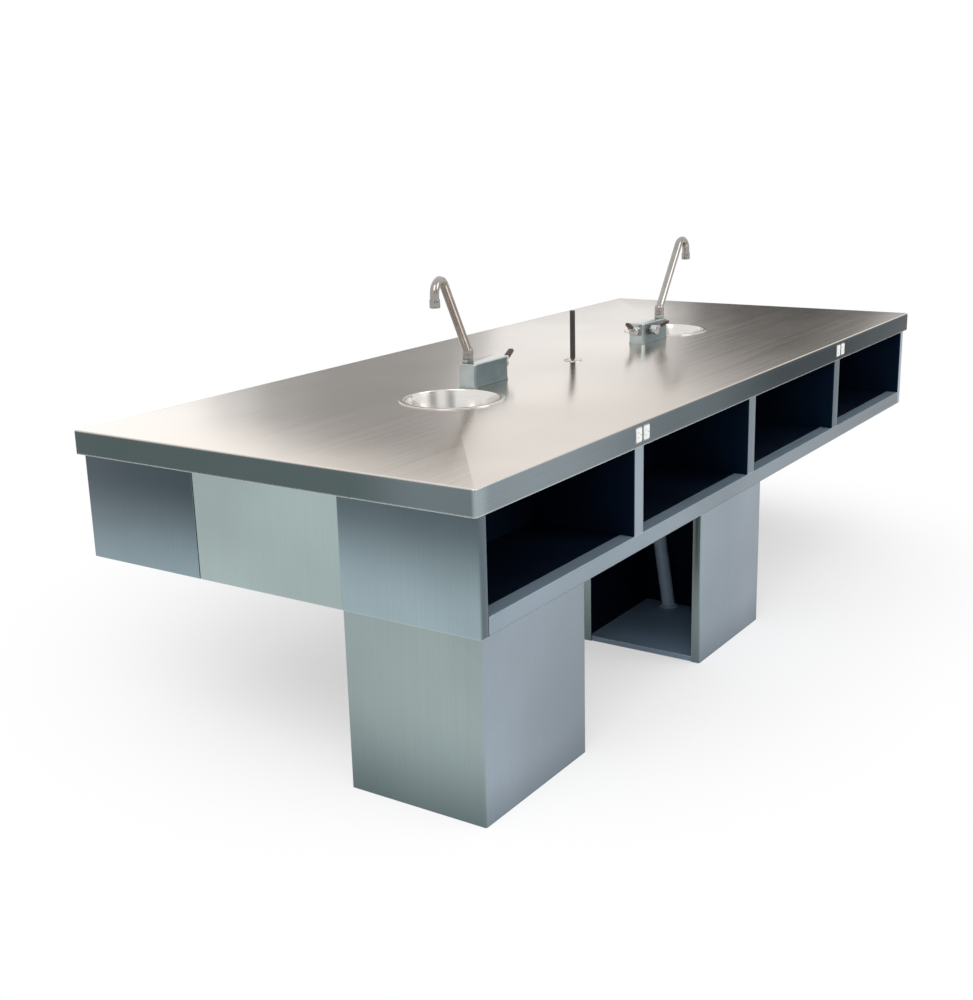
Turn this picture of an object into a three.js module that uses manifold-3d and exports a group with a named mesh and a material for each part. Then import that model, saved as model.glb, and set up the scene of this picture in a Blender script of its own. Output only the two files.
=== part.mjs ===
// Laboratory sink unit: a stainless island bench on four hollow pedestals, with two rows of open
// cubbies back to back, a service channel between the rows, two round basins with mixer taps,
// power outlets in the rim and a service riser in the middle.
// Millimetres, +Z up, floor at z = 0, X along the bench, front cubbies facing -Y.
// The bench looks the same after half a turn about Z, apart from how the spouts are turned, so one
// half is built and placed twice.
import * as THREE from "three";
import { mergeVertices } from "three/addons/utils/BufferGeometryUtils.js";
import Module from "manifold-3d";

// Worktop
const topLength = 2800;
const topWidth = 1180;
const topHeight = 750;
const topSheet = 3;
const rimDepth = 60;
const topCorner = 8;
const boardThickness = 18;
const boardGap = 1;

// Cubby rows
const endOverhang = 20;
const sideOverhang = 8;
const rowHeight = 304;
const rowDepth = 365;
const shelfDepth = 290;
const panelSheet = 3;
const railHeight = 42;
const railDepth = 40;
const dividerWidth = 50;
const endPostWidth = 30;
const endPanelFold = 20;
const tieWidth = 40;
const tieFromCentre = 200;

// Pedestals
const endPedestalLength = 425;
const innerPedestalLength = 400;
const innerPedestalFromCentre = 325;
const mouthFlange = 25;
const plateLip = 14;

// Basins and waste
const basinFromCentre = 668;
const basinOffLine = 22;
const basinRadius = 140;
const basinFlange = 14;
const basinFlangeHeight = 2.5;
const basinDepth = 135;
const basinTaper = 22;
const basinCorner = 34;
const basinSheet = 2;
const wasteRadius = 20;
const wasteWall = 3;
const wasteTail = 70;
const wasteFlange = 33;
const wasteFlangeHeight = 2;
const strainerHole = 3.5;
const strainerCircle = 10;
const trapRadius = 34;
const trapHeight = 135;
const trapSocket = 30;
const trapNeck = 27;
const trapStub = 60;
const trapStubWall = 5;
const trapOutletDrop = 25;
const wasteBend = 70;
const dropFromWall = 32;
const dropFromBack = 26;
const dropLean = 66;

// Mixer taps
const tapGap = 8;
const tapOffLine = 31;
const tapLength = 166;
const tapWidth = 56;
const tapHeight = 66;
const tapCorner = 9;
const shankSpacing = 102;
const shankRadius = 10;
const shankDrop = 60;
const shankClearance = 1;
const spigotRadius = 8;
const spigotHeight = 30;
const nutRadius = 18;
const nutHeight = 10;
const spoutFromCentre = 64;
const spoutOffLine = 8;
const spoutHubRadius = 15;
const spoutHubHeight = 22;
const spoutTube = 12;
const spoutReach = 194;
const spoutRise = 219;
const spoutHook = 32;
const spoutDrop = 26;
const leftSpoutTurn = THREE.MathUtils.degToRad(10);
const rightSpoutTurn = 0;
const aeratorRadius = 14;
const aeratorHeight = 22;
const aeratorFloor = 8;
const stemRadius = 5;
const stemLength = 13;
const stemHeight = 42;
const hotStemFromCentre = 35;
const handleHubRadius = 15;
const handleHubLength = 24;
const leverLength = 58;
const leverWidth = 18;
const leverThickness = 11;
const leverTip = 15;
const leverTilt = THREE.MathUtils.degToRad(32);

// Water supply
const supplyRadius = 7.5;
const supplyBend = 45;
const supplyNutRadius = 14;
const supplyNutHeight = 20;
const hotDrop = 130;
const coldDrop = 170;
const hotFromBack = 28;
const coldFromBack = 51;
const hotFromMouth = 65;
const coldFromMouth = 115;
const floorHoleGap = 2;

// Power outlets and riser
const outletFaceWidth = 28;
const outletFaceHeight = 34;
const outletPitch = 39;
const outletProud = 2;
const outletBody = 24;
const outletFlange = 4;
const socketDepth = 9;
const slotLength = 7.5;
const slotWidth = 2;
const slotPitch = 12.5;
const earthRadius = 2.4;
const riserRadius = 8;
const riserHeight = 150;
const riserTail = 50;
const riserFlangeRadius = 28;
const riserFlangeHeight = 6;
const riserNeck = 14;

// Sides of large, middling and small round forms, of drilled holes and of hexagons
const roundLarge = 32;
const roundMedium = 20;
const roundSmall = 12;
const roundHole = 8;
const hexagon = 6;

// Length of one straight step along the bent tubes
const spoutStep = 17;
const wasteStep = 50;
const supplyStep = 36;

// Gap between pieces that fit, depth by which the forms of one piece run into each other, broken edges
const fit = 0.3;
const overlap = 1;
const chamfer = 2;

// Places worked out from the sizes above
const boardTop = topHeight - topSheet;
const boardBottom = boardTop - boardThickness;
const rimBottom = topHeight - rimDepth;
const carcassBottom = boardBottom - rowHeight;
const insideCorner = topCorner - topSheet;
const endFace = topLength / 2 - endOverhang;
const sideFace = topWidth / 2 - sideOverhang;
const rowBack = -sideFace + rowDepth;
const shelfBack = -sideFace + shelfDepth;
const shelfTop = carcassBottom + railHeight;
const shelfHalf = endFace - endPostWidth;
const bayWidth = (2 * shelfHalf - 3 * dividerWidth) / 4;
const dividerPitch = bayWidth + dividerWidth;
const basinX = -basinFromCentre;
const basinY = -basinOffLine;
const bowlRadius = basinRadius - basinFlange;
const basinBottom = topHeight - basinDepth;
const trapTop = basinBottom - basinSheet - wasteTail + trapSocket;
const trapBottom = trapTop - trapHeight;
const trapOutlet = trapTop - trapSocket - trapOutletDrop;
const tapX = basinX + basinRadius + tapGap + tapLength / 2;
const tapY = tapOffLine;
const spoutX = tapX - spoutFromCentre;
const spoutY = tapY + spoutOffLine;
const tapTop = topHeight + tapHeight;
const spoutBase = tapTop + nutHeight + fit;
const spoutStart = spoutBase + spoutHubHeight;
const innerMouth = -innerPedestalFromCentre;
const innerWall = innerMouth + innerPedestalLength;
const endMouth = -endFace + endPedestalLength;
const dropX = innerWall - dropFromWall;
const dropTopY = rowBack - dropFromBack;
const dropFootY = dropTopY - dropLean;
const dropSlope = dropLean / carcassBottom;
const elbowY = dropTopY + dropSlope * (trapOutlet - carcassBottom);
const hotLevel = topHeight - hotDrop;
const coldLevel = topHeight - coldDrop;
const hotX = endMouth - hotFromMouth;
const coldX = endMouth - coldFromMouth;
const hotY = rowBack - hotFromBack;
const coldY = rowBack - coldFromBack;
const outletX = dividerPitch;
const outletZ = topHeight - rimDepth / 2;
const rimFace = topWidth / 2;
const outletHalf = (outletPitch + outletFaceWidth) / 2 + outletFlange;
const outletHigh = outletFaceHeight / 2 + outletFlange;

// Finishes
function finish(color, roughness, metalness) {
  return new THREE.MeshStandardMaterial({ color, roughness, metalness });
}

const stainless = () => finish(0xc4cacb, 0.38, 1);
const satinTop = () => finish(0xd9d0c6, 0.3, 1);
const liner = () => finish(0x14171d, 0.7, 0.2);
const chrome = () => finish(0xd8dadc, 0.12, 1);
const plywood = () => finish(0xa98a62, 0.8, 0);
const whitePlastic = () => finish(0xf2f3ef, 0.45, 0);
const greyPlastic = () => finish(0xb9bdbd, 0.5, 0);
const copper = () => finish(0xb4764f, 0.35, 1);
const blackPlastic = () => finish(0x1c1a19, 0.5, 0);

// Joining and cutting of closed meshes
const wasm = await Module();
wasm.setup();

function solid(geometry) {
  const bare = geometry.index ? geometry.toNonIndexed() : geometry.clone();
  bare.deleteAttribute("normal");
  bare.deleteAttribute("uv");
  const merged = mergeVertices(bare, 1e-4);
  const vertProperties = merged.attributes.position.array;
  const triVerts = new Uint32Array(merged.index.array);
  return new wasm.Manifold(new wasm.Mesh({ numProp: 3, vertProperties, triVerts }));
}

function geometryOf(manifold) {
  const { vertProperties, triVerts } = manifold.getMesh();
  const geometry = new THREE.BufferGeometry();
  geometry.setAttribute("position", new THREE.BufferAttribute(vertProperties, 3));
  geometry.setIndex(new THREE.BufferAttribute(triVerts, 1));
  geometry.computeVertexNormals();
  return geometry;
}

function join(first, ...others) {
  return geometryOf(others.reduce((whole, other) => whole.add(solid(other)), solid(first)));
}

function cut(first, ...others) {
  return geometryOf(others.reduce((whole, other) => whole.subtract(solid(other)), solid(first)));
}

// Basic forms, each given by where it lies
function block(xLow, xHigh, yLow, yHigh, zLow, zHigh) {
  const geometry = new THREE.BoxGeometry(xHigh - xLow, yHigh - yLow, zHigh - zLow);
  return geometry.translate((xLow + xHigh) / 2, (yLow + yHigh) / 2, (zLow + zHigh) / 2);
}

function post(radius, zLow, zHigh, x = 0, y = 0, sides = roundMedium) {
  const geometry = new THREE.CylinderGeometry(radius, radius, zHigh - zLow, sides).rotateX(Math.PI / 2);
  return geometry.translate(x, y, (zLow + zHigh) / 2);
}

function peg(radius, xLow, xHigh, y = 0, z = 0, sides = roundMedium) {
  const geometry = new THREE.CylinderGeometry(radius, radius, xHigh - xLow, sides).rotateZ(Math.PI / 2);
  return geometry.translate((xLow + xHigh) / 2, y, z);
}

const outline = (points) => new THREE.Shape(points.map(([x, y]) => new THREE.Vector2(x, y)));

// A plan outline raised from zLow to zHigh
function raised(points, zLow, zHigh) {
  const options = { depth: zHigh - zLow, bevelEnabled: false };
  return new THREE.ExtrudeGeometry(outline(points), options).translate(0, 0, zLow);
}

// A section of Y and Z points drawn out along X
function drawn(points, xLow, xHigh) {
  const options = { depth: xHigh - xLow, bevelEnabled: false };
  const geometry = new THREE.ExtrudeGeometry(outline(points), options);
  return geometry.rotateX(Math.PI / 2).rotateZ(Math.PI / 2).translate(xLow, 0, 0);
}

function roundedBlock(length, width, radius, zLow, zHigh) {
  const x = length / 2;
  const y = width / 2;
  const shape = new THREE.Shape();
  shape.moveTo(-x + radius, -y);
  shape.absarc(x - radius, -y + radius, radius, -Math.PI / 2, 0);
  shape.absarc(x - radius, y - radius, radius, 0, Math.PI / 2);
  shape.absarc(-x + radius, y - radius, radius, Math.PI / 2, Math.PI);
  shape.absarc(-x + radius, -y + radius, radius, Math.PI, 1.5 * Math.PI);
  const options = { depth: zHigh - zLow, bevelEnabled: false, curveSegments: 4 };
  return new THREE.ExtrudeGeometry(shape, options).translate(0, 0, zLow);
}

// A closed profile of radius and height points turned about Z
function turned(points, sides = roundMedium) {
  const profile = [...points, points[0]].map(([r, z]) => new THREE.Vector2(r, z));
  return new THREE.LatheGeometry(profile, sides).rotateX(Math.PI / 2);
}

// A round bend between two straight runs
class Bend extends THREE.Curve {
  constructor(centre, start, axis, angle) {
    super();
    Object.assign(this, { centre, start, axis, angle });
  }

  getPoint(t, target = new THREE.Vector3()) {
    const arm = target.copy(this.start).sub(this.centre);
    return arm.applyAxisAngle(this.axis, this.angle * t).add(this.centre);
  }
}

// Straight runs through the corner points, with each corner rounded
function route(corners, radius) {
  const points = corners.map((corner) => new THREE.Vector3(...corner));
  const path = new THREE.CurvePath();
  let from = points[0];
  for (let i = 1; i < points.length - 1; i++) {
    const into = points[i].clone().sub(points[i - 1]).normalize();
    const out = points[i + 1].clone().sub(points[i]).normalize();
    const turn = into.angleTo(out);
    const start = points[i].clone().addScaledVector(into, -radius * Math.tan(turn / 2));
    const axis = new THREE.Vector3().crossVectors(into, out).normalize();
    const centre = start.clone().addScaledVector(new THREE.Vector3().crossVectors(axis, into), radius);
    const bend = new Bend(centre, start, axis, turn);
    path.add(new THREE.LineCurve3(from, start));
    path.add(bend);
    from = bend.getPoint(1);
  }
  path.add(new THREE.LineCurve3(from, points.at(-1)));
  return path;
}

function tube(path, radius, sides, step) {
  const shape = new THREE.Shape().absarc(0, 0, radius, 0, 2 * Math.PI);
  const steps = Math.max(2, Math.round(path.getLength() / step));
  return new THREE.ExtrudeGeometry(shape, { steps, extrudePath: path, curveSegments: sides / 2 });
}

function place(group, name, geometry, material, x = 0, y = 0, z = 0) {
  const mesh = new THREE.Mesh(geometry, material);
  mesh.name = name;
  mesh.position.set(x, y, z);
  group.add(mesh);
  return mesh;
}

// Half a turn about Z of a plan point, for the holes of the far half
const bothHalves = (x, y) => [[x, y], [-x, -y]];

// Places of the outlets: two on each long side
const outletPlaces = [-1, 1].flatMap((along) => [-1, 1].map((side) => ({ x: along * outletX, side })));

// Windows in the rim for the two faces of one outlet
function outletWindows({ x, side }) {
  const half = outletFaceWidth / 2 + fit;
  const high = outletFaceHeight / 2 + fit;
  return [-1, 1].map((face) => {
    const middle = x + (face * outletPitch) / 2;
    const inner = side * (rimFace - 2 * topSheet);
    const outer = side * (rimFace + topSheet);
    const [yLow, yHigh] = [Math.min(inner, outer), Math.max(inner, outer)];
    return block(middle - half, middle + half, yLow, yHigh, outletZ - high, outletZ + high);
  });
}

// Room behind the rim for the body of one outlet
function outletRoom({ x, side }) {
  const half = outletHalf + fit;
  const high = outletHigh + fit;
  const inner = side * (rimFace - topSheet - outletBody - fit);
  const outer = side * rimFace;
  const [yLow, yHigh] = [Math.min(inner, outer), Math.max(inner, outer)];
  return block(x - half, x + half, yLow, yHigh, outletZ - high, boardTop + fit);
}

// Worktop: one folded sheet with its rim turned down, holed for basins, taps, riser and outlets
function worktop() {
  const blank = roundedBlock(topLength, topWidth, topCorner, rimBottom, topHeight);
  const insideLength = topLength - 2 * topSheet;
  const insideWidth = topWidth - 2 * topSheet;
  const inside = roundedBlock(insideLength, insideWidth, insideCorner, rimBottom - overlap, boardTop);
  const hole = (radius, x, y, sides) => post(radius, boardBottom, topHeight + overlap, x, y, sides);
  const shanks = [tapX - shankSpacing / 2, tapX + shankSpacing / 2].flatMap((x) => bothHalves(x, tapY));
  return cut(
    blank,
    inside,
    ...bothHalves(basinX, basinY).map(([x, y]) => hole(bowlRadius + basinSheet + fit, x, y, roundLarge)),
    ...shanks.map(([x, y]) => hole(shankRadius + shankClearance, x, y, roundSmall)),
    hole(riserRadius + 2 * fit, 0, 0, roundSmall),
    ...outletPlaces.flatMap(outletWindows),
  );
}

// Board that stiffens the sheet from below, cut away round each basin and its tap
function coreBoard() {
  const length = topLength - 2 * (topSheet + boardGap);
  const width = topWidth - 2 * (topSheet + boardGap);
  const board = roundedBlock(length, width, insideCorner, boardBottom, boardTop);
  const [low, high] = [boardBottom - overlap, boardTop + overlap];
  const [near, far] = [basinX - basinRadius, tapX + tapLength / 2];
  const [front, back] = [basinY - basinRadius, basinY + basinRadius];
  return cut(
    board,
    block(near, far, front, back, low, high),
    block(-far, -near, -back, -front, low, high),
    post(riserRadius + boardGap, low, high, 0, 0, roundSmall),
    ...outletPlaces.map(outletRoom),
  );
}

// End panel of a row: a folded sheet with its front edge as a post; side is -1 or 1 along X
function rowEnd(side) {
  const outer = side * endFace;
  const inner = side * shelfHalf;
  const s = side * panelSheet;
  const plan = [
    [outer, -sideFace],
    [inner, -sideFace],
    [inner, shelfBack],
    [inner + s, shelfBack],
    [inner + s, -sideFace + panelSheet],
    [outer - s, -sideFace + panelSheet],
    [outer - s, rowBack],
    [outer, rowBack],
  ];
  return raised(plan, carcassBottom, boardBottom);
}

// Divider between two cubbies: a folded sheet, open at the back and notched for an outlet
function divider(x, notched) {
  const half = dividerWidth / 2;
  const back = shelfBack - panelSheet;
  const plan = [
    [x - half, -sideFace],
    [x + half, -sideFace],
    [x + half, back],
    [x + half - panelSheet, back],
    [x + half - panelSheet, -sideFace + panelSheet],
    [x - half + panelSheet, -sideFace + panelSheet],
    [x - half + panelSheet, back],
    [x - half, back],
  ];
  const folded = raised(plan, shelfTop, boardBottom);
  return notched ? cut(folded, outletRoom({ x, side: -1 })) : folded;
}

// Front rail under the cubbies: a channel open to the back
function frontRail() {
  const front = -sideFace;
  const back = front + railDepth;
  const section = [
    [front, carcassBottom],
    [back, carcassBottom],
    [back, carcassBottom + panelSheet],
    [front + panelSheet, carcassBottom + panelSheet],
    [front + panelSheet, shelfTop - panelSheet],
    [back, shelfTop - panelSheet],
    [back, shelfTop],
    [front, shelfTop],
  ];
  return drawn(section, -shelfHalf, shelfHalf);
}

// Floor of the cubbies: a pan with its long edges turned down
function shelfFloor() {
  const front = -sideFace + railDepth;
  const section = [
    [front, carcassBottom],
    [front + panelSheet, carcassBottom],
    [front + panelSheet, shelfTop - panelSheet],
    [shelfBack - panelSheet, shelfTop - panelSheet],
    [shelfBack - panelSheet, carcassBottom],
    [shelfBack, carcassBottom],
    [shelfBack, shelfTop],
    [front, shelfTop],
  ];
  return drawn(section, -shelfHalf, shelfHalf);
}

// Panel that closes the service channel at one end, between the two rows
function servicePanel() {
  const front = -endFace;
  const fold = front + endPanelFold;
  const plan = [
    [front, rowBack],
    [fold, rowBack],
    [fold, rowBack + panelSheet],
    [front + panelSheet, rowBack + panelSheet],
    [front + panelSheet, -rowBack - panelSheet],
    [fold, -rowBack - panelSheet],
    [fold, -rowBack],
    [front, -rowBack],
  ];
  return raised(plan, carcassBottom, boardBottom);
}

// Channel across the service space that ties the two rows together
function crossTie() {
  const half = tieWidth / 2;
  const low = carcassBottom;
  const high = carcassBottom + tieWidth;
  const whole = block(-half, half, shelfBack, -shelfBack, low, high);
  const inside = half - panelSheet;
  const reach = -shelfBack + overlap;
  const room = block(-inside, inside, -reach, reach, low + panelSheet, high + overlap);
  return cut(whole, room);
}

// Pedestal shell: front, back and side walls in one folded sheet, with a flanged mouth
function pedestal(mouth, wall) {
  const s = Math.sign(wall - mouth) * panelSheet;
  const front = -sideFace;
  const plan = [
    [mouth, front + mouthFlange],
    [mouth, front],
    [wall, front],
    [wall, rowBack],
    [mouth, rowBack],
    [mouth, rowBack - mouthFlange],
    [mouth + s, rowBack - mouthFlange],
    [mouth + s, rowBack - panelSheet],
    [wall - s, rowBack - panelSheet],
    [wall - s, front + panelSheet],
    [mouth + s, front + panelSheet],
    [mouth + s, front + mouthFlange],
  ];
  return raised(plan, 0, carcassBottom);
}

// Floor plate of a pedestal, with a turned-up lip at the mouth and holes for its pipes
function basePlate(mouth, wall, holes) {
  const inward = Math.sign(wall - mouth);
  const near = mouth + inward * (panelSheet + fit);
  const far = wall - inward * (panelSheet + fit);
  const yLow = -sideFace + panelSheet + fit;
  const yHigh = rowBack - panelSheet - fit;
  const lip = near + inward * panelSheet;
  const flat = block(Math.min(near, far), Math.max(near, far), yLow, yHigh, 0, panelSheet);
  const upright = block(Math.min(near, lip), Math.max(near, lip), yLow, yHigh, 0, plateLip);
  const drills = holes.map(([x, y, radius]) => post(radius, -overlap, plateLip, x, y, roundMedium));
  return cut(join(flat, upright), ...drills);
}

// Basin: a spun bowl whose rim lies on the worktop; heights run from the worktop
function basin() {
  const floorRadius = bowlRadius - basinTaper;
  const corner = (radius) =>
    [0, 1, 2, 3].map((i) => {
      const angle = (i / 3) * (Math.PI / 2);
      const r = floorRadius - basinCorner + radius * Math.cos(angle);
      return [r, -basinDepth + basinCorner - radius * Math.sin(angle)];
    });
  const drain = wasteRadius + 2 * fit;
  const inside = [[bowlRadius, basinFlangeHeight], ...corner(basinCorner), [drain, -basinDepth]];
  const under = corner(basinCorner + basinSheet).reverse();
  const outside = [[drain, -basinDepth - basinSheet], ...under, [bowlRadius + basinSheet, 0]];
  const flange = [[basinRadius, 0], [basinRadius - basinFlangeHeight, basinFlangeHeight]];
  return turned([...inside, ...outside, ...flange], roundLarge);
}

// Basin waste: a flanged tail with a drilled strainer
function waste() {
  const bore = wasteRadius - wasteWall;
  const foot = -basinSheet - wasteTail;
  const tail = turned(
    [
      [bore, foot],
      [wasteRadius, foot],
      [wasteRadius, 0],
      [wasteFlange, 0],
      [wasteFlange - wasteFlangeHeight, wasteFlangeHeight],
      [bore, wasteFlangeHeight],
    ],
    roundMedium,
  );
  const grid = post(bore + wasteWall / 2, -wasteFlangeHeight, 0, 0, 0, roundMedium);
  const ring = [0, 1, 2, 3, 4, 5].map((i) => {
    const angle = (i * Math.PI) / 3;
    const [x, y] = [strainerCircle * Math.cos(angle), strainerCircle * Math.sin(angle)];
    return post(strainerHole, -2 * wasteFlangeHeight, wasteFlangeHeight, x, y, roundHole);
  });
  const middle = post(strainerHole, -2 * wasteFlangeHeight, wasteFlangeHeight, 0, 0, roundHole);
  return join(tail, cut(grid, middle, ...ring));
}

// Bottle trap, with a socket on top for the tail and one at the side for the waste pipe
const wasteRun = new THREE.Vector2(dropX - basinX, elbowY - basinY).normalize();

function trap() {
  const shoulder = trapTop - trapSocket;
  const body = turned(
    [
      [0, trapBottom],
      [trapRadius - chamfer, trapBottom],
      [trapRadius, trapBottom + chamfer],
      [trapRadius, shoulder],
      [trapNeck, shoulder],
      [trapNeck, trapTop],
      [0, trapTop],
    ],
    roundMedium,
  );
  const angle = wasteRun.angle();
  const socket = wasteRadius + 2 * fit;
  const stub = peg(socket + trapStubWall, 0, trapStub, 0, trapOutlet).rotateZ(angle);
  const inlet = post(socket, shoulder - fit, trapTop + overlap, 0, 0, roundMedium);
  const outletStart = trapStub - trapSocket - fit;
  const outlet = peg(socket, outletStart, trapStub + overlap, 0, trapOutlet).rotateZ(angle);
  return cut(join(body, stub), inlet, outlet);
}

// Waste pipe from the trap along the service channel and down inside the inner pedestal
function wastePipe() {
  const from = trapStub - trapSocket;
  const end = wasteRadius * Math.sin(Math.atan(dropSlope)) + panelSheet;
  const corners = [
    [basinX + from * wasteRun.x, basinY + from * wasteRun.y, trapOutlet],
    [dropX, elbowY, trapOutlet],
    [dropX, dropTopY - dropSlope * (carcassBottom - end), end],
  ];
  return tube(route(corners, wasteBend), wasteRadius, roundSmall, wasteStep);
}

// Mixer body: a block with two shanks through the worktop, a valve stem at its far end and one at its
// back, and a spigot for the spout near the basin
function tapBody() {
  const body = roundedBlock(tapLength, tapWidth, tapCorner, 0, tapHeight);
  const shanks = [-1, 1].map((side) => {
    return post(shankRadius, -shankDrop, overlap, (side * shankSpacing) / 2, 0, roundSmall);
  });
  const coldStem = peg(stemRadius, 0, tapLength / 2 + stemLength, 0, stemHeight, roundSmall);
  const hotStem = peg(stemRadius, 0, tapWidth / 2 + stemLength, 0, stemHeight, roundSmall);
  hotStem.rotateZ(Math.PI / 2).translate(hotStemFromCentre, 0, 0);
  const [x, y] = [-spoutFromCentre, spoutOffLine];
  const spigot = post(spigotRadius, tapHeight - overlap, tapHeight + spigotHeight, x, y, roundMedium);
  return join(body, ...shanks, coldStem, hotStem, spigot);
}

// Ring nut that holds the spout on the body
function spoutNut() {
  const ring = post(nutRadius, 0, nutHeight, 0, 0, hexagon);
  return cut(ring, post(spigotRadius + fit, -overlap, nutHeight + overlap, 0, 0, roundMedium));
}

// Spout: a hub that turns on the spigot, a leaning tube and a hook; it points along -X, turned to
// where it was last left
function spout(turn) {
  const hookX = -spoutReach + spoutHook;
  const hookZ = spoutRise - spoutHook - spoutTube;
  const phase = Math.atan2(hookZ, -hookX);
  const lean = Math.acos(spoutHook / Math.hypot(hookX, hookZ)) - phase;
  const path = new THREE.CurvePath();
  const centre = new THREE.Vector3(hookX, 0, hookZ);
  const start = new THREE.Vector3(Math.cos(lean), 0, Math.sin(lean)).multiplyScalar(spoutHook).add(centre);
  const hook = new Bend(centre, start, new THREE.Vector3(0, -1, 0), Math.PI - lean);
  const hookEnd = hook.getPoint(1);
  const tip = hookEnd.clone().setZ(hookEnd.z - spoutDrop);
  path.add(new THREE.LineCurve3(new THREE.Vector3(), start));
  path.add(hook);
  path.add(new THREE.LineCurve3(hookEnd, tip));
  const pipe = tube(path, spoutTube, roundSmall, spoutStep);
  const ball = new THREE.SphereGeometry(spoutHubRadius, 2 * roundHole, roundHole);
  const hub = post(spoutHubRadius, -spoutHubHeight, 0, 0, 0, roundMedium);
  const boreTop = -spoutHubHeight + spigotHeight - nutHeight;
  const bore = post(spigotRadius + fit, -spoutHubHeight - overlap, boreTop, 0, 0, roundMedium);
  tip.applyAxisAngle(new THREE.Vector3(0, 0, 1), turn);
  return { geometry: cut(join(hub, ball, pipe), bore).rotateZ(turn), tip };
}

// Aerator cup over the end of the spout; heights run from the end of the tube
function aerator() {
  const cup = turned(
    [
      [0, -aeratorFloor],
      [aeratorRadius - chamfer, -aeratorFloor],
      [aeratorRadius, chamfer - aeratorFloor],
      [aeratorRadius, aeratorHeight - aeratorFloor],
      [0, aeratorHeight - aeratorFloor],
    ],
    roundMedium,
  );
  return cut(cup, post(spoutTube + 2 * fit, -fit, aeratorHeight, 0, 0, roundMedium));
}

// Lever handle on a valve stem; it stands off along +X from the body
function handle() {
  const hub = peg(handleHubRadius, fit, handleHubLength, 0, 0, roundMedium);
  const bore = peg(stemRadius + fit, -overlap, stemLength + fit, 0, 0, roundSmall);
  const half = leverWidth / 2;
  const shape = new THREE.Shape();
  shape.moveTo(0, -half);
  shape.lineTo(leverLength - leverTip / 2, -leverTip / 2);
  shape.absarc(leverLength - leverTip / 2, 0, leverTip / 2, -Math.PI / 2, Math.PI / 2);
  shape.lineTo(0, half);
  const options = { depth: leverThickness, bevelEnabled: false, curveSegments: 4 };
  const lever = new THREE.ExtrudeGeometry(shape, options).translate(0, 0, -leverThickness / 2);
  lever.rotateY(-leverTilt).translate(handleHubLength - leverThickness, 0, 0);
  return cut(join(hub, lever), bore);
}

// Copper supply from a tap shank along the row and down inside the end pedestal
function supply(shankX, level, lineY, downX) {
  const top = topHeight - shankDrop;
  const corners = [
    [shankX, tapY, top - overlap],
    [shankX, tapY, level],
    [shankX, lineY, level],
    [downX, lineY, level],
    [downX, lineY, overlap],
  ];
  const pipe = tube(route(corners, supplyBend), supplyRadius, hexagon, supplyStep);
  const nut = post(supplyNutRadius, top - supplyNutHeight, top, shankX, tapY, hexagon);
  return join(pipe, nut);
}

// Duplex outlet, its faces standing through the rim towards -Y
function outlet() {
  const back = topSheet + outletBody;
  const body = block(-outletHalf, outletHalf, topSheet, back, -outletHigh, outletHigh);
  const faces = [-1, 1].map((face) => {
    const x = (face * outletPitch) / 2;
    const half = outletFaceWidth / 2;
    const high = outletFaceHeight / 2;
    return block(x - half, x + half, -outletProud, topSheet + overlap, -high, high);
  });
  const sockets = [-1, 1].flatMap((face) => {
    const x = (face * outletPitch) / 2;
    const slots = [-1, 1].map((side) => {
      const z = (side * slotPitch) / 2;
      const [xLow, xHigh] = [x - slotLength, x];
      return block(xLow, xHigh, -outletProud - overlap, socketDepth, z - slotWidth / 2, z + slotWidth / 2);
    });
    const earth = post(earthRadius, -socketDepth, outletProud + overlap, 0, 0, roundHole);
    earth.rotateX(Math.PI / 2);
    return [...slots, earth.translate(x + slotLength, 0, 0)];
  });
  return cut(join(body, ...faces), ...sockets);
}

// Service riser through the middle of the worktop, and the flange that holds it
const riser = () =>
  turned(
    [
      [0, boardBottom - riserTail],
      [riserRadius, boardBottom - riserTail],
      [riserRadius, topHeight + riserHeight - chamfer],
      [riserRadius - chamfer, topHeight + riserHeight],
      [0, topHeight + riserHeight],
    ],
    roundSmall,
  );

function riserFlange() {
  const disc = turned(
    [
      [0, 0],
      [riserFlangeRadius, 0],
      [riserFlangeRadius, chamfer],
      [riserNeck, riserFlangeHeight],
      [0, riserFlangeHeight],
    ],
    roundMedium,
  );
  return cut(disc, post(riserRadius + 2 * fit, -overlap, riserFlangeHeight + overlap, 0, 0, roundSmall));
}

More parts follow.
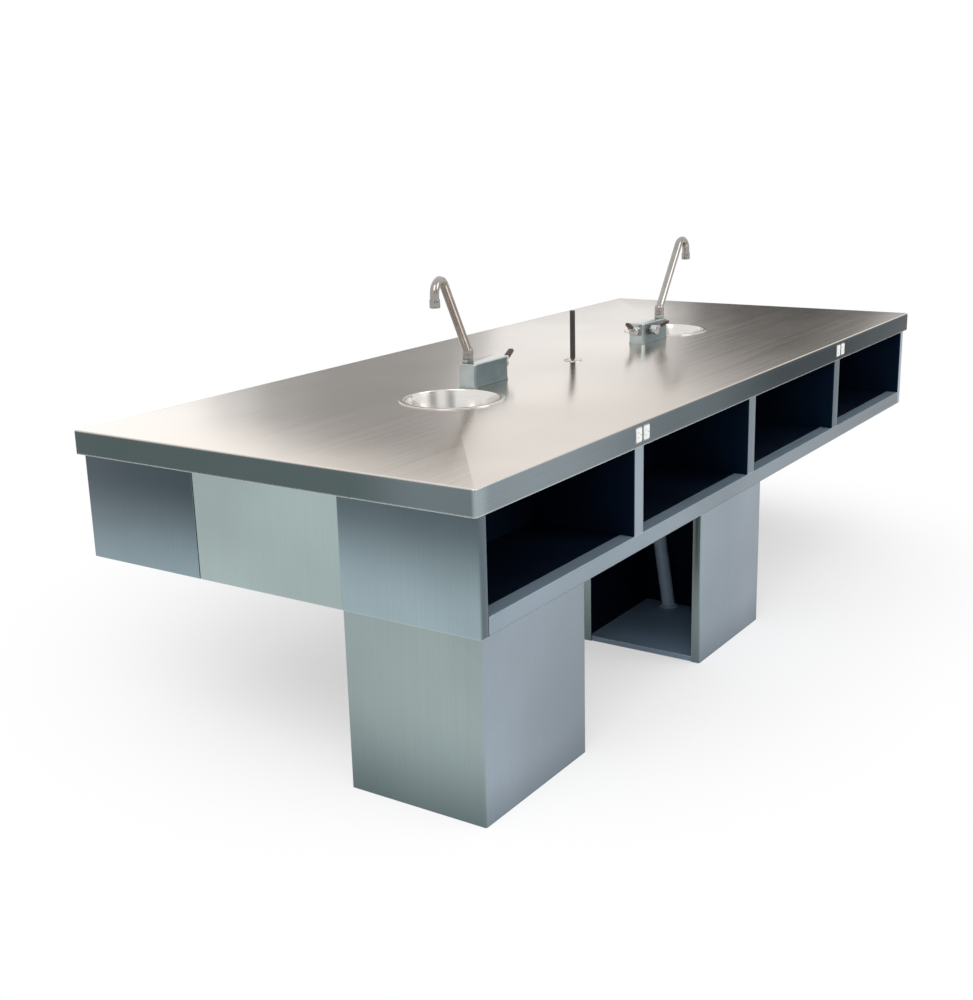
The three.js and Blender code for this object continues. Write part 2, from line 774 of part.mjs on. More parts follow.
// One half of the bench: a row, two pedestals, a basin with its tap, and two outlets
function half(row, end, far, spoutTurn) {
  const group = new THREE.Group();
  place(group, `${row}_shelf_floor`, shelfFloor(), liner());
  const backSheet = block(-shelfHalf, shelfHalf, shelfBack - panelSheet, shelfBack, shelfTop, boardBottom);
  place(group, `${row}_shelf_back`, backSheet, liner());
  place(group, `${row}_rail`, frontRail(), stainless());
  place(group, `${row}_end_${end}`, rowEnd(-1), stainless());
  place(group, `${row}_end_${far}`, rowEnd(1), stainless());
  place(group, `${row}_divider_${end}`, divider(-dividerPitch, true), stainless());
  place(group, `${row}_divider_middle`, divider(0, false), stainless());
  place(group, `${row}_divider_${far}`, divider(dividerPitch, true), stainless());
  place(group, `service_panel_${end}`, servicePanel(), stainless());
  place(group, `cross_tie_${end}`, crossTie(), stainless(), -tieFromCentre);

  const supplyHole = supplyRadius + floorHoleGap;
  const endHoles = [[hotX, hotY, supplyHole], [coldX, coldY, supplyHole]];
  const innerHoles = [[dropX, dropFootY, wasteRadius + 2 * floorHoleGap]];
  place(group, `${row}_end_pedestal`, pedestal(endMouth, -endFace), stainless());
  place(group, `${row}_end_base_plate`, basePlate(endMouth, -endFace, endHoles), stainless());
  place(group, `${row}_inner_pedestal`, pedestal(innerMouth, innerWall), stainless());
  place(group, `${row}_inner_base_plate`, basePlate(innerMouth, innerWall, innerHoles), stainless());

  place(group, `${end}_basin`, basin(), stainless(), basinX, basinY, topHeight);
  place(group, `${end}_waste`, waste(), chrome(), basinX, basinY, basinBottom);
  place(group, `${end}_trap`, trap(), greyPlastic(), basinX, basinY);
  place(group, `${end}_waste_pipe`, wastePipe(), greyPlastic());

  const spoutForm = spout(spoutTurn);
  place(group, `${end}_tap_body`, tapBody(), chrome(), tapX, tapY, topHeight);
  place(group, `${end}_spout_nut`, spoutNut(), chrome(), spoutX, spoutY, tapTop);
  place(group, `${end}_spout`, spoutForm.geometry, chrome(), spoutX, spoutY, spoutStart);
  const tip = spoutForm.tip;
  place(group, `${end}_aerator`, aerator(), chrome(), spoutX + tip.x, spoutY + tip.y, spoutStart + tip.z);
  const stemZ = topHeight + stemHeight;
  place(group, `${end}_cold_handle`, handle(), chrome(), tapX + tapLength / 2, tapY, stemZ);
  const hotStemX = tapX + hotStemFromCentre;
  const hot = place(group, `${end}_hot_handle`, handle(), chrome(), hotStemX, tapY + tapWidth / 2, stemZ);
  hot.rotation.z = Math.PI / 2;
  place(group, `${end}_hot_supply`, supply(tapX - shankSpacing / 2, hotLevel, hotY, hotX), copper());
  place(group, `${end}_cold_supply`, supply(tapX + shankSpacing / 2, coldLevel, coldY, coldX), copper());

  place(group, `${row}_outlet_${end}`, outlet(), whitePlastic(), -outletX, -rimFace, outletZ);
  place(group, `${row}_outlet_${far}`, outlet(), whitePlastic(), outletX, -rimFace, outletZ);
  return group;
}

const bench = new THREE.Group();
bench.name = "laboratory_sink_unit";
place(bench, "worktop", worktop(), satinTop());
place(bench, "core_board", coreBoard(), plywood());
place(bench, "riser", riser(), blackPlastic());
place(bench, "riser_flange", riserFlange(), stainless(), 0, 0, topHeight);
bench.add(half("front", "left", "right", leftSpoutTurn));
const farHalf = half("back", "right", "left", rightSpoutTurn);
farHalf.rotation.z = Math.PI;
bench.add(farHalf);

export default bench;
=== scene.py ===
import math

import bmesh
import bpy
from mathutils import Matrix, Vector


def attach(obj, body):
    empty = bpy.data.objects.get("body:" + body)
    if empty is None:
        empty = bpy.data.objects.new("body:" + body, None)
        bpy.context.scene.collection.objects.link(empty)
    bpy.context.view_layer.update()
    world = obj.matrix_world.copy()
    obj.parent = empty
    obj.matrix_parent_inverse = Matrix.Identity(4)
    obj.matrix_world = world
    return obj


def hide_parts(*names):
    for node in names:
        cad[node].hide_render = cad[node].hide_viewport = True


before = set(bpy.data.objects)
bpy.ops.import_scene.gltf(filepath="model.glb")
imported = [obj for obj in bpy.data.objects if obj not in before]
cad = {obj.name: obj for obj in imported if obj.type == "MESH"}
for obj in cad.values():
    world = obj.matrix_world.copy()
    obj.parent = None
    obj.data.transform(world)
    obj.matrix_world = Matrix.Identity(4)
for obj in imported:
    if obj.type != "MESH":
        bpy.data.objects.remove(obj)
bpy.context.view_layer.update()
bpy.ops.object.select_all(action="DESELECT")

# Camera: stands off the left front corner of the bench, a little above head height of someone
# seated, looking down along the worktop. Lens and place come from the lines of the photograph.
view = bpy.data.cameras.new("view")
view.sensor_width = 36
view.lens = 48.425
view.clip_end = 60
camera = bpy.data.objects.new("view", view)
bpy.context.collection.objects.link(camera)
turn, tilt, roll = (math.radians(angle) for angle in (55.996, 15.398, 1.4815))
stand = Matrix.Translation((-3.4956, -2.0303, 1.4284))
aim = Matrix.Rotation(-turn, 4, "Z") @ Matrix.Rotation(math.pi / 2 - tilt, 4, "X")
camera.matrix_world = stand @ aim @ Matrix.Rotation(-roll, 4, "Z")
bpy.context.scene.camera = camera


# Room: a pale matt floor that fades into a white backdrop, soft boxes above the bench, and glowing
# flags that stand out of the picture, seen only in reflections, so that polished metal has something dark to
# mirror.
def feed(tree, node, inputs):
    """Links each input of a node to the output given for it, or sets it to the value given."""
    for socket, value in inputs.items():
        if isinstance(value, bpy.types.NodeSocket):
            tree.links.new(value, node.inputs[socket])
        else:
            node.inputs[socket].default_value = value


def add_node(tree, kind, inputs, **settings):
    """Adds a shader node to a tree, with its settings first and then its inputs."""
    node = tree.nodes.new(f"ShaderNode{kind}")
    for setting, value in settings.items():
        setattr(node, setting, value)
    feed(tree, node, inputs)
    return node


def map_to(tree, value, low, high, first, last, **settings):
    """A number that goes from first to last, as the value goes from low to high."""
    ends = {"Value": value, "From Min": low, "From Max": high, "To Min": first, "To Max": last}
    return add_node(tree, "MapRange", ends, **settings).outputs["Result"]


def new_finish(name):
    """A new material, with its node tree and its shader."""
    finish = bpy.data.materials.new(name)
    finish.use_nodes = True
    return finish, finish.node_tree, finish.node_tree.nodes["Principled BSDF"]


def seen_by_eye(tree):
    """One for rays that the eye, polished metal or glass send out, and nought for the rest."""
    rays = add_node(tree, "LightPath", {}).outputs
    seen = rays["Is Camera Ray"]
    for way in ("Is Glossy Ray", "Is Transmission Ray"):
        seen = add_node(tree, "Math", {0: seen, 1: rays[way]}, operation="MAXIMUM").outputs[0]
    return seen


bpy.ops.mesh.primitive_plane_add(size=60, location=(0, 0, 0))
floor = bpy.context.object
floor.name = "floor"
floor_paint, tree, matt = new_finish("floor_paint")
feed(tree, matt, {"Base Color": (0.93, 0.93, 0.93, 1), "Roughness": 0.9, "Specular IOR Level": 0.1})
on_floor = add_node(tree, "TexCoord", {})
away = add_node(tree, "VectorMath", {0: on_floor.outputs["Object"]}, operation="LENGTH")
shade_to, white_from, white_under = 0.9, 1.9, 0.5
fade = map_to(
    tree, away.outputs["Value"], shade_to, white_from, white_under, 1, interpolation_type="SMOOTHSTEP"
)
share = add_node(tree, "Math", {0: fade, 1: seen_by_eye(tree)}, operation="MULTIPLY")
glow = add_node(tree, "Emission", {})
blend = add_node(
    tree, "MixShader", {"Fac": share.outputs[0], 1: matt.outputs["BSDF"], 2: glow.outputs["Emission"]}
)
feed(tree, tree.nodes["Material Output"], {"Surface": blend.outputs["Shader"]})
floor.data.materials.append(floor_paint)

sky = bpy.data.worlds.new("sky")
sky.use_nodes = True
bpy.context.scene.world = sky
tree = sky.node_tree
light_given = 0.88
strength = map_to(tree, seen_by_eye(tree), 0, 1, light_given, 1)
feed(tree, tree.nodes["Background"], {"Color": (1, 1, 1, 1), "Strength": strength})

for name, place, aim_at, width, power in (
    ("soft_box_left", (-3.2, -1.0, 3.6), (-0.3, 0, 0.7), 2.4, 40),
    ("soft_box_front", (0.6, -3.6, 3.0), (0.2, 0, 0.5), 2.2, 40),
):
    lamp = bpy.data.lights.new(name, "AREA")
    lamp.shape = "SQUARE"
    lamp.size = width
    lamp.energy = power
    soft_box = bpy.data.objects.new(name, lamp)
    facing = (Vector(aim_at) - Vector(place)).to_track_quat("-Z", "Y")
    soft_box.matrix_world = Matrix.Translation(place) @ facing.to_matrix().to_4x4()
    soft_box.visible_camera = False
    bpy.context.collection.objects.link(soft_box)

far_left = (
    (0, 0.74), (0.054, 0.45), (0.113, 0.3), (0.216, 0.26), (0.363, 0.25), (0.485, 0.29), (0.583, 0.5),
    (0.68, 0.85), (0.755, 0.9), (0.9, 0.9), (1, 0.74),
)
far_right = (
    (0, 1), (0.12, 0.5), (0.28, 0.16), (0.46, 0.078), (0.66, 0.08), (0.8, 0.15), (0.92, 0.5), (1, 1),
)
behind = (
    (0, 1), (0.128, 0.5), (0.222, 0.32), (0.306, 0.6), (0.427, 1), (0.562, 0.95), (0.67, 0.45),
    (0.79, 0.32), (0.9, 0.6), (1, 1),
)
basin_place = Vector((-0.668, -0.022, 0.75))


def mix(tree, share, first, second, **settings):
    """A colour between two others, by the share of the second."""
    colours = {"Factor": share, "A": first, "B": second}
    return add_node(tree, "Mix", colours, data_type="RGBA", **settings).outputs["Result"]


def set_stops(ramp, stops):
    """Gives a colour ramp its stops, from the first at nought to the last at one."""
    ramp.interpolation = "EASE"
    ramp.elements[0].color = (*stops[0][1], 1)
    ramp.elements[1].color = (*stops[-1][1], 1)
    for at, colour in stops[1:-1]:
        ramp.elements.new(at).color = (*colour, 1)


for name, start, first, last, away_by, base, height, hem_from, hem_to, slant, glow_by, greys in (
    ("flag_far_left", camera.location, 33.6, 54, 9.5, 0, 5.5, 0.72, 0.99, 0.8, 1.35, far_left),
    ("flag_far_right", camera.location, 14, 27.1, 10.5, 0, 4.2, 0.75, 1.1, 0.4, 1, far_right),
    ("flag_behind", basin_place, 204, 284, 4.2, 1.0, 2.4, 0.4, 1, 0, 1, behind),
):
    bpy.ops.object.select_all(action="DESELECT")
    middle = math.radians((first + last) / 2)
    way = Vector((math.cos(middle), math.sin(middle), 0))
    place = Vector((start.x, start.y, base + height / 2)) + way * away_by
    stood = (math.pi / 2, 0, middle + math.pi / 2)
    bpy.ops.mesh.primitive_plane_add(size=1, location=place, rotation=stood)
    flag = bpy.context.object
    flag.name = name
    flag.scale = (2 * away_by * math.tan(math.radians((last - first) / 2)), height, 1)
    # Each flag glows: its painted bands of grey, brighter above the hem, stand in for a room as metal mirrors
    # it.
    card_glow, tree, _ = new_finish(name)
    spread = add_node(tree, "TexCoord", {})
    parts = add_node(tree, "SeparateXYZ", {"Vector": spread.outputs["UV"]}).outputs
    bands = add_node(tree, "ValToRGB", {"Fac": parts["X"]})
    set_stops(bands.color_ramp, [(at, (grey, grey, grey)) for at, grey in greys])
    rising = add_node(tree, "Math", {0: parts["X"], 1: slant, 2: parts["Y"]}, operation="MULTIPLY_ADD")
    hem = map_to(tree, rising.outputs[0], hem_from, hem_to, 0, 1, interpolation_type="SMOOTHSTEP")
    over_hem = map_to(tree, parts["X"], 0.38, 0.6, 1 / glow_by, 1)
    lit = mix(tree, hem, bands.outputs["Color"], over_hem)
    shine = add_node(tree, "Emission", {"Color": lit, "Strength": glow_by})
    feed(tree, tree.nodes["Material Output"], {"Surface": shine.outputs["Emission"]})
    flag.data.materials.append(card_glow)
    flag.visible_camera = False
    flag.visible_diffuse = False
    flag.visible_shadow = False

bpy.context.scene.view_settings.view_transform = "Standard"


# Worktop: one sheet of satin stainless steel over a board, its four edges folded down into a rim
# and its corners welded and ground round. The polish runs along the bench and is duller in places.
def new_group(name, takes, gives):
    """A new shader node group, with the outputs of its first node and its last node."""
    group = bpy.data.node_groups.new(name, "ShaderNodeTree")
    for way, sockets in (("INPUT", takes), ("OUTPUT", gives)):
        for socket, kind in sockets.items():
            group.interface.new_socket(socket, in_out=way, socket_type=f"NodeSocket{kind}")
    return group, group.nodes.new("NodeGroupInput").outputs, group.nodes.new("NodeGroupOutput")


brushed, given, result = new_group(
    "Brushed Lines", {"Stretch": "Vector", "Cloud Size": "Float"}, {"Lines": "Float", "Cloud": "Float"}
)
where = add_node(brushed, "TexCoord", {}).outputs["Object"]
stretched = add_node(brushed, "Mapping", {"Vector": where, "Scale": given["Stretch"]}).outputs["Vector"]
hairlines = add_node(brushed, "TexNoise", {"Vector": stretched, "Scale": 1, "Detail": 5, "Roughness": 0.65})
cloud = add_node(
    brushed, "TexNoise", {"Vector": where, "Scale": given["Cloud Size"], "Detail": 3, "Roughness": 0.5}
)
feed(brushed, result, {"Lines": hairlines.outputs["Fac"], "Cloud": cloud.outputs["Fac"]})

# Pale edges: a bevel mask mixes a pale colour into folds and corners, partly rubbing wear, partly painted
# highlight.
wear_and_sheen, given, result = new_group("Edge Wear and Highlight", {"Width": "Float"}, {"Wear and Highlight": "Float"})
rounded = add_node(wear_and_sheen, "Bevel", {"Radius": given["Width"]}, samples=4)
facing = add_node(wear_and_sheen, "NewGeometry", {})
agree = add_node(
    wear_and_sheen, "VectorMath", {0: rounded.outputs["Normal"], 1: facing.outputs["Normal"]}, operation="DOT_PRODUCT"
)
flat, folded = 0.98, 0.72
feed(wear_and_sheen, result, {"Wear and Highlight": map_to(wear_and_sheen, agree.outputs["Value"], flat, folded, 0, 1)})

# Tones by facing: faces across the bench, at its ends and on top each take a colour; where these differ they
# are painted light and shade.
facing_tone, given, result = new_group(
    "Tone by Facing", {"Front": "Color", "End": "Color", "Top": "Color"}, {"Colour": "Color"}
)
facing = add_node(facing_tone, "NewGeometry", {})
parts = add_node(facing_tone, "SeparateXYZ", {"Vector": facing.outputs["Normal"]}).outputs
end_on = add_node(facing_tone, "Math", {0: parts["X"]}, operation="ABSOLUTE").outputs[0]
front_or_end = mix(facing_tone, end_on, given["Front"], given["End"])
on_top = map_to(facing_tone, parts["Z"], 0.25, 0.75, 0, 1)
feed(facing_tone, result, {"Colour": mix(facing_tone, on_top, front_or_end, given["Top"])})


def tone_by_facing(tree, front, end, top):
    """The colour of a piece, with its tones on faces across the bench, at its ends and level: painted light
    where they differ.
    """
    tones = {"Front": (*front, 1), "End": (*end, 1), "Top": (*top, 1)}
    return add_node(tree, "Group", tones, node_tree=facing_tone, name="Tone").outputs["Colour"]


def multiply(tree, colour, by, share=1):
    """The product of two colours, as far as the share says."""
    return mix(tree, share, colour, by, blend_type="MULTIPLY")


def relief(tree, height, strength, distance):
    """The normal of a surface that is raised by a height."""
    bump = add_node(tree, "Bump", {"Height": height, "Strength": strength, "Distance": distance})
    return bump.outputs["Normal"]


def steel_sheet(
    name, front, end, top, stretch, cloud_size=1.4, rough=(0.26, 0.4), glance=1.0, sheen_width=0.0025, metal=1
):
    """Satin stainless sheet: fine lines along the polish, cloudy dull areas, edges pale with wear and painted
    highlight.

    Front, end and top are its tones by facing, painted light and shade where they differ; glance is how
    bright the polish is at a low angle, and sheen_width the width of its pale edges.
    """
    sheet, tree, shader = new_finish(name)
    colour = tone_by_facing(tree, front, end, top)
    lay = {"Stretch": stretch, "Cloud Size": cloud_size}
    polish = add_node(tree, "Group", lay, node_tree=brushed).outputs
    for value, low, high, darkest, palest in (
        (polish["Cloud"], 0.34, 0.66, 0.87, 1.06),
        (polish["Lines"], 0.3, 0.7, 0.965, 1.03),
    ):
        grey = map_to(tree, value, low, high, darkest, palest, interpolation_type="SMOOTHSTEP")
        colour = multiply(tree, colour, grey)
    edge_sheen = add_node(tree, "Group", {"Width": sheen_width}, node_tree=wear_and_sheen).outputs["Wear and Highlight"]
    edge_highlight = (0.78, 0.79, 0.78, 1)
    surface = {
        "Metallic": metal,
        "Specular Tint": (glance, glance, glance, 1),
        "Base Color": mix(tree, edge_sheen, colour, edge_highlight),
        "Roughness": map_to(tree, polish["Lines"], 0.3, 0.7, *rough),
        "Normal": relief(tree, polish["Lines"], 0.018, 0.0004),
    }
    feed(tree, shader, surface)
    return sheet


def grade(finish, socket, axis, *stops):
    """Lets the tone of one facing change along an axis of the bench, from place to place."""
    tree = finish.node_tree
    where = add_node(tree, "TexCoord", {})
    parts = add_node(tree, "SeparateXYZ", {"Vector": where.outputs["Object"]})
    low, high = stops[0][0], stops[-1][0]
    graded = add_node(tree, "ValToRGB", {"Fac": map_to(tree, parts.outputs[axis], low, high, 0, 1)})
    set_stops(graded.color_ramp, [((at - low) / (high - low), tone) for at, tone in stops])
    feed(tree, tree.nodes["Tone"], {socket: graded.outputs["Color"]})


polish_lay = (1.2, 330, 330)
top_tone = (0.77, 0.7, 0.63)
top_finish = steel_sheet(
    "worktop_satin", top_tone, top_tone, top_tone, polish_lay, cloud_size=0.9, rough=(0.16, 0.25)
)
# Rim tones are painted reflection and highlight: pale at the near left corner, darker along the front towards
# the right end and along the ends towards the back; its pale edges are wider.
corner_highlight, rim_pale = (0.37, 0.44, 0.46), (0.262, 0.308, 0.335)
rim_mid, rim_dark = (0.175, 0.21, 0.225), (0.062, 0.078, 0.088)
end_pale, end_dark = (0.155, 0.195, 0.21), (0.097, 0.132, 0.13)
rim_finish = steel_sheet(
    "rim_satin", rim_pale, end_pale, top_tone, polish_lay,
    cloud_size=0.9, rough=(0.2, 0.3), glance=0.52, sheen_width=0.006,
)
grade(
    rim_finish, "Front", "X",
    (-1.4, corner_highlight), (-1.385, corner_highlight), (-1.345, rim_pale), (-1.1, rim_pale), (-0.45, rim_mid),
    (0.3, rim_dark), (1.4, rim_dark),
)
grade(rim_finish, "End", "Y", (-0.59, corner_highlight), (-0.578, end_pale), (-0.45, end_pale), (-0.25, end_dark))


def pick(kind, test):
    """Selects the faces or edges of the piece being edited that pass the test."""
    bpy.ops.mesh.select_mode(type=kind)
    bpy.ops.mesh.select_all(action="DESELECT")
    mesh = bmesh.from_edit_mesh(bpy.context.object.data)
    for part in mesh.faces if kind == "FACE" else mesh.edges:
        if test(part):
            part.select_set(True)
    mesh.select_flush_mode()
    bmesh.update_edit_mesh(bpy.context.object.data)


def round_edges(test, offset, segments):
    """Rounds the edges of the piece being edited that pass the test."""
    pick("EDGE", test)
    bpy.ops.mesh.bevel(offset=offset, segments=segments, affect="EDGES")


def make_active(piece):
    """Leaves only this piece selected, ready for an operator."""
    bpy.ops.object.select_all(action="DESELECT")
    piece.select_set(True)
    bpy.context.view_layer.objects.active = piece


def settle(name):
    """Names the piece just added, and moves its place into its mesh."""
    piece = bpy.context.object
    piece.name = name
    bpy.ops.object.transform_apply(location=True, rotation=True, scale=True)
    return piece


def add_block(name, low, high):
    """A box between two corners, with its place in its mesh."""
    bpy.ops.object.select_all(action="DESELECT")
    middle = [(a + b) / 2 for a, b in zip(low, high)]
    bpy.ops.mesh.primitive_cube_add(size=1, location=middle)
    bpy.context.object.scale = [b - a for a, b in zip(low, high)]
    return settle(name)


def combine(piece, tool, operation):
    """Cuts the tool out of the piece, or joins it on, and does away with the tool."""
    make_active(piece)
    change = piece.modifiers.new("change", "BOOLEAN")
    change.operation = operation
    change.solver = "EXACT"
    change.object = tool
    bpy.ops.object.modifier_apply(modifier=change.name)
    bpy.data.objects.remove(tool)


def thicken(piece, thickness):
    """Makes a bent surface into sheet, with the thickness on its inner side."""
    wall = piece.modifiers.new("wall", "SOLIDIFY")
    wall.thickness = thickness
    wall.offset = -1
    bpy.ops.object.modifier_apply(modifier=wall.name)


def line_faces(piece, outer, inner, inside):
    """Gives a piece one finish, and another on the faces that pass the test."""
    piece.data.materials.append(outer)
    piece.data.materials.append(inner)
    for face in piece.data.polygons:
        face.material_index = 1 if inside(face.center, face.normal) else 0


def dress(piece, body, slot, finishes, *nodes, smooth=35):
    """Smooths the piece, gives it its finishes and puts it in place of its solids."""
    make_active(piece)
    bpy.ops.object.shade_smooth_by_angle(angle=math.radians(smooth))
    if len(piece.data.materials) == 0:
        for finish in finishes:
            piece.data.materials.append(finish)
    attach(piece, body)
    if nodes:
        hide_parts(*nodes)


def is_upright(edge):
    a, b = (v.co for v in edge.verts)
    return abs(a.z - b.z) > 0.01 and (a - b).xy.length < 1e-5


half_length, half_width, rim_z, top_z = 1.4, 0.59, 0.69, 0.75
sheet_thick, hair = 0.003, 0.0001
worktop = add_block("worktop_sheet", (-half_length, -half_width, rim_z), (half_length, half_width, top_z))
bpy.ops.object.mode_set(mode="EDIT")
round_edges(is_upright, 0.008, 5)
round_edges(lambda edge: all(v.co.z > top_z - hair for v in edge.verts), 0.0045, 4)
pick("FACE", lambda face: face.normal.z < -0.9)
bpy.ops.mesh.delete(type="FACE")
bpy.ops.object.mode_set(mode="OBJECT")
thicken(worktop, sheet_thick)
tap_place = Vector((-0.437, 0.031, top_z))
shank_apart = 0.051
bowl_hole, shank_hole, riser_hole = 0.1283, 0.011, 0.0086
for radius, x, y in (
    (bowl_hole, basin_place.x, basin_place.y),
    (bowl_hole, -basin_place.x, -basin_place.y),
    (shank_hole, tap_place.x - shank_apart, tap_place.y),
    (shank_hole, tap_place.x + shank_apart, tap_place.y),
    (shank_hole, -tap_place.x - shank_apart, -tap_place.y),
    (shank_hole, -tap_place.x + shank_apart, -tap_place.y),
    (riser_hole, 0, 0),
):
    bpy.ops.mesh.primitive_cylinder_add(vertices=96, radius=radius, depth=0.03, location=(x, y, top_z))
    combine(worktop, bpy.context.object, "DIFFERENCE")
outlet_x, outlet_z, socket_shift = 0.6875, 0.72, 0.0195
window_half = Vector((0.0143, 0.005, 0.0173))
for x in (-outlet_x, outlet_x):
    for y in (-half_width, half_width):
        for shift in (-socket_shift, socket_shift):
            middle = Vector((x + shift, y, outlet_z))
            window = add_block("window", middle - window_half, middle + window_half)
            combine(worktop, window, "DIFFERENCE")
line_faces(worktop, top_finish, rim_finish, lambda place, normal: abs(normal.z) < 0.75)
dress(worktop, "bench", "satin_top", [], "worktop")

# Core board: plywood that carries the worktop sheet, glued up under it and cut away round each
# basin and tap. Only its underside shows, in the service space and as the ceiling of the cubbies.
moulded, given, result = new_group(
    "Fine Skin", {"Grain Size": "Float", "Mottle Size": "Float"}, {"Grain": "Float", "Mottle": "Float"}
)
where = add_node(moulded, "TexCoord", {}).outputs["Object"]
for mark, detail in (("Grain", 2), ("Mottle", 4)):
    cells = {"Vector": where, "Scale": given[f"{mark} Size"], "Detail": detail}
    feed(moulded, result, {mark: add_node(moulded, "TexNoise", cells).outputs["Fac"]})


def two_tone(tree, value, low, dark, high, pale):
    """A colour that goes from dark to pale, as the value goes from low to high."""
    ramp = add_node(tree, "ValToRGB", {"Fac": value})
    for mark, at, tone in zip(ramp.color_ramp.elements, (low, high), (dark, pale)):
        mark.position = at
        mark.color = (*tone, 1)
    return ramp.outputs["Color"]


def plain_skin(name, colour, shade, rough, grain=900, mottle=14, bump=0.08, metal=0.0):
    """Moulded or coated surface: a fine grain in the skin and a slow change of tone."""
    skin, tree, shader = new_finish(name)
    sizes = {"Grain Size": grain, "Mottle Size": mottle}
    fine = add_node(tree, "Group", sizes, node_tree=moulded).outputs
    surface = {
        "Metallic": metal,
        "Base Color": two_tone(tree, fine["Mottle"], 0.3, shade, 0.7, colour),
        "Roughness": map_to(tree, fine["Mottle"], 0.3, 0.7, *rough),
        "Normal": relief(tree, fine["Grain"], bump, 0.0003),
    }
    feed(tree, shader, surface)
    return skin


def paint(node, finish):
    """Gives a solid of the frame its finish."""
    cad[node].data.materials.clear()
    cad[node].data.materials.append(finish)


plywood = plain_skin(
    "plywood", (0.46, 0.32, 0.19), (0.34, 0.22, 0.12), (0.6, 0.8), grain=160, mottle=9, bump=0.25
)
tree = plywood.node_tree
spot = add_node(tree, "TexCoord", {})
lay = add_node(tree, "Mapping", {"Vector": spot.outputs["Object"], "Scale": (0.25, 3.5, 3.5)})
waves = {"Vector": lay.outputs["Vector"], "Scale": 5, "Distortion": 9, "Detail": 3, "Detail Scale": 1.4}
figure = add_node(tree, "TexWave", waves)
grained = multiply(tree, tree.nodes["Color Ramp"].outputs["Color"], figure.outputs["Color"], 0.35)
feed(tree, tree.nodes["Principled BSDF"], {"Base Color": grained})
paint("core_board", plywood)

# Cubby rows: folded stainless sheet with tight bends. End panels and dividers turn their front
# edge into a post; the faces inside the cubbies are near black, painted shade. Floor and back are separate
# sheets, painted the same.
upright, along = (240, 240, 1.4), (1.2, 240, 240)
# Steel tones by facing, bluish across the bench and greenish at the ends: painted reflection of the
# surroundings.
blue_steel, green_steel = (0.35, 0.41, 0.47), (0.29, 0.36, 0.355)
# Rail fronts painted darker towards the right end, a painted reflection; their tops a pale bluish tone, a
# painted tint of the shade under the cubbies.
rail_left, rail_mid, rail_right = (0.3, 0.37, 0.435), (0.235, 0.282, 0.32), (0.16, 0.19, 0.21)
rail_top = (0.38, 0.52, 0.64)
steel_rail = steel_sheet(
    "steel_rail", blue_steel, green_steel, rail_top, along, glance=0.8, sheen_width=0.001, metal=0.6
)
grade(steel_rail, "Front", "X", (-1.3, rail_left), (0, rail_mid), (1.3, rail_right))
# Post fronts painted darker towards the right end: painted reflection.
mid_post, dark_post = (0.22, 0.265, 0.305), (0.125, 0.162, 0.188)
steel_post = steel_sheet("steel_post", blue_steel, green_steel, blue_steel, upright, glance=0.8)
grade(steel_post, "Front", "X", (-0.69, blue_steel), (0, mid_post), (0.69, dark_post))
# Row end faces painted darker towards the top, painted shade under the worktop; their posts painted darker
# towards the left end, a painted reflection.
end_bright, end_dim = (0.33, 0.425, 0.46), (0.1, 0.135, 0.15)
steel_end = steel_sheet("steel_row_end", blue_steel, end_bright, blue_steel, upright, sheen_width=0.001)
grade(steel_end, "End", "Z", (0.46, end_bright), (0.69, end_dim))
grade(steel_end, "Front", "X", (-1.3, dark_post), (1.3, blue_steel))
# Back row ends take a darker copy of the row end finish, painted darker still towards the top: painted shade.
far_bright, far_dim = (0.27, 0.355, 0.39), (0.065, 0.09, 0.105)
steel_far_end = steel_sheet("steel_far_row_end", blue_steel, far_bright, blue_steel, upright, sheen_width=0.001)
grade(steel_far_end, "End", "Z", (0.4, far_bright), (0.66, far_dim))
# Near black with a blue tint and a blue tint in its gloss: painted shade deep inside the cubbies and
# pedestals.
shade_pale, shade_deep = (0.0008, 0.0036, 0.0125), (0.0005, 0.0022, 0.0085)
painted_shade = plain_skin("dark_liner", shade_pale, shade_deep, (0.5, 0.68), grain=700, mottle=5, bump=0.12)
shade_gloss = {"Specular IOR Level": 0.18, "Specular Tint": (0.25, 0.6, 1, 1)}
feed(painted_shade.node_tree, painted_shade.node_tree.nodes["Principled BSDF"], shade_gloss)


def push(step):
    """Extrudes what is selected of the piece being edited."""
    bpy.ops.mesh.extrude_region_move(TRANSFORM_OT_translate={"value": step})


def is_fold(edge):
    return len(edge.link_faces) == 2


def fold_sheet(name, corners, low, high, outward):
    """Folds a strip of sheet, stood on edge, along the corners of its plan.

    The corners lie on the outer face; outward is the way the first wall faces.
    """
    bpy.ops.object.select_all(action="DESELECT")
    bpy.ops.mesh.primitive_plane_add(size=1)
    piece = bpy.context.object
    piece.name = name
    bpy.ops.object.mode_set(mode="EDIT")
    pick("EDGE", lambda edge: all(v.co.x > 0 for v in edge.verts))
    bpy.ops.mesh.select_all(action="INVERT")
    bpy.ops.mesh.delete(type="EDGE")
    mesh = bmesh.from_edit_mesh(piece.data)
    for spare in [v for v in mesh.verts if v.co.x < 0]:
        mesh.verts.remove(spare)
    for vertex, z in zip(mesh.verts, (low, high)):
        vertex.co = (*corners[0], z)
    bmesh.update_edit_mesh(piece.data)
    bpy.ops.mesh.select_all(action="SELECT")
    for (x0, y0), (x1, y1) in zip(corners, corners[1:]):
        push((x1 - x0, y1 - y0, 0))
    mesh = bmesh.from_edit_mesh(piece.data)
    first = min(mesh.faces, key=lambda face: (face.calc_center_median().xy - Vector(corners[0])).length)
    if first.normal.dot(Vector(outward)) < 0:
        bpy.ops.mesh.select_all(action="SELECT")
        bpy.ops.mesh.flip_normals()
    round_edges(lambda edge: is_upright(edge) and is_fold(edge), 0.0045, 3)
    bpy.ops.object.mode_set(mode="OBJECT")
    thicken(piece, sheet_thick)
    return piece


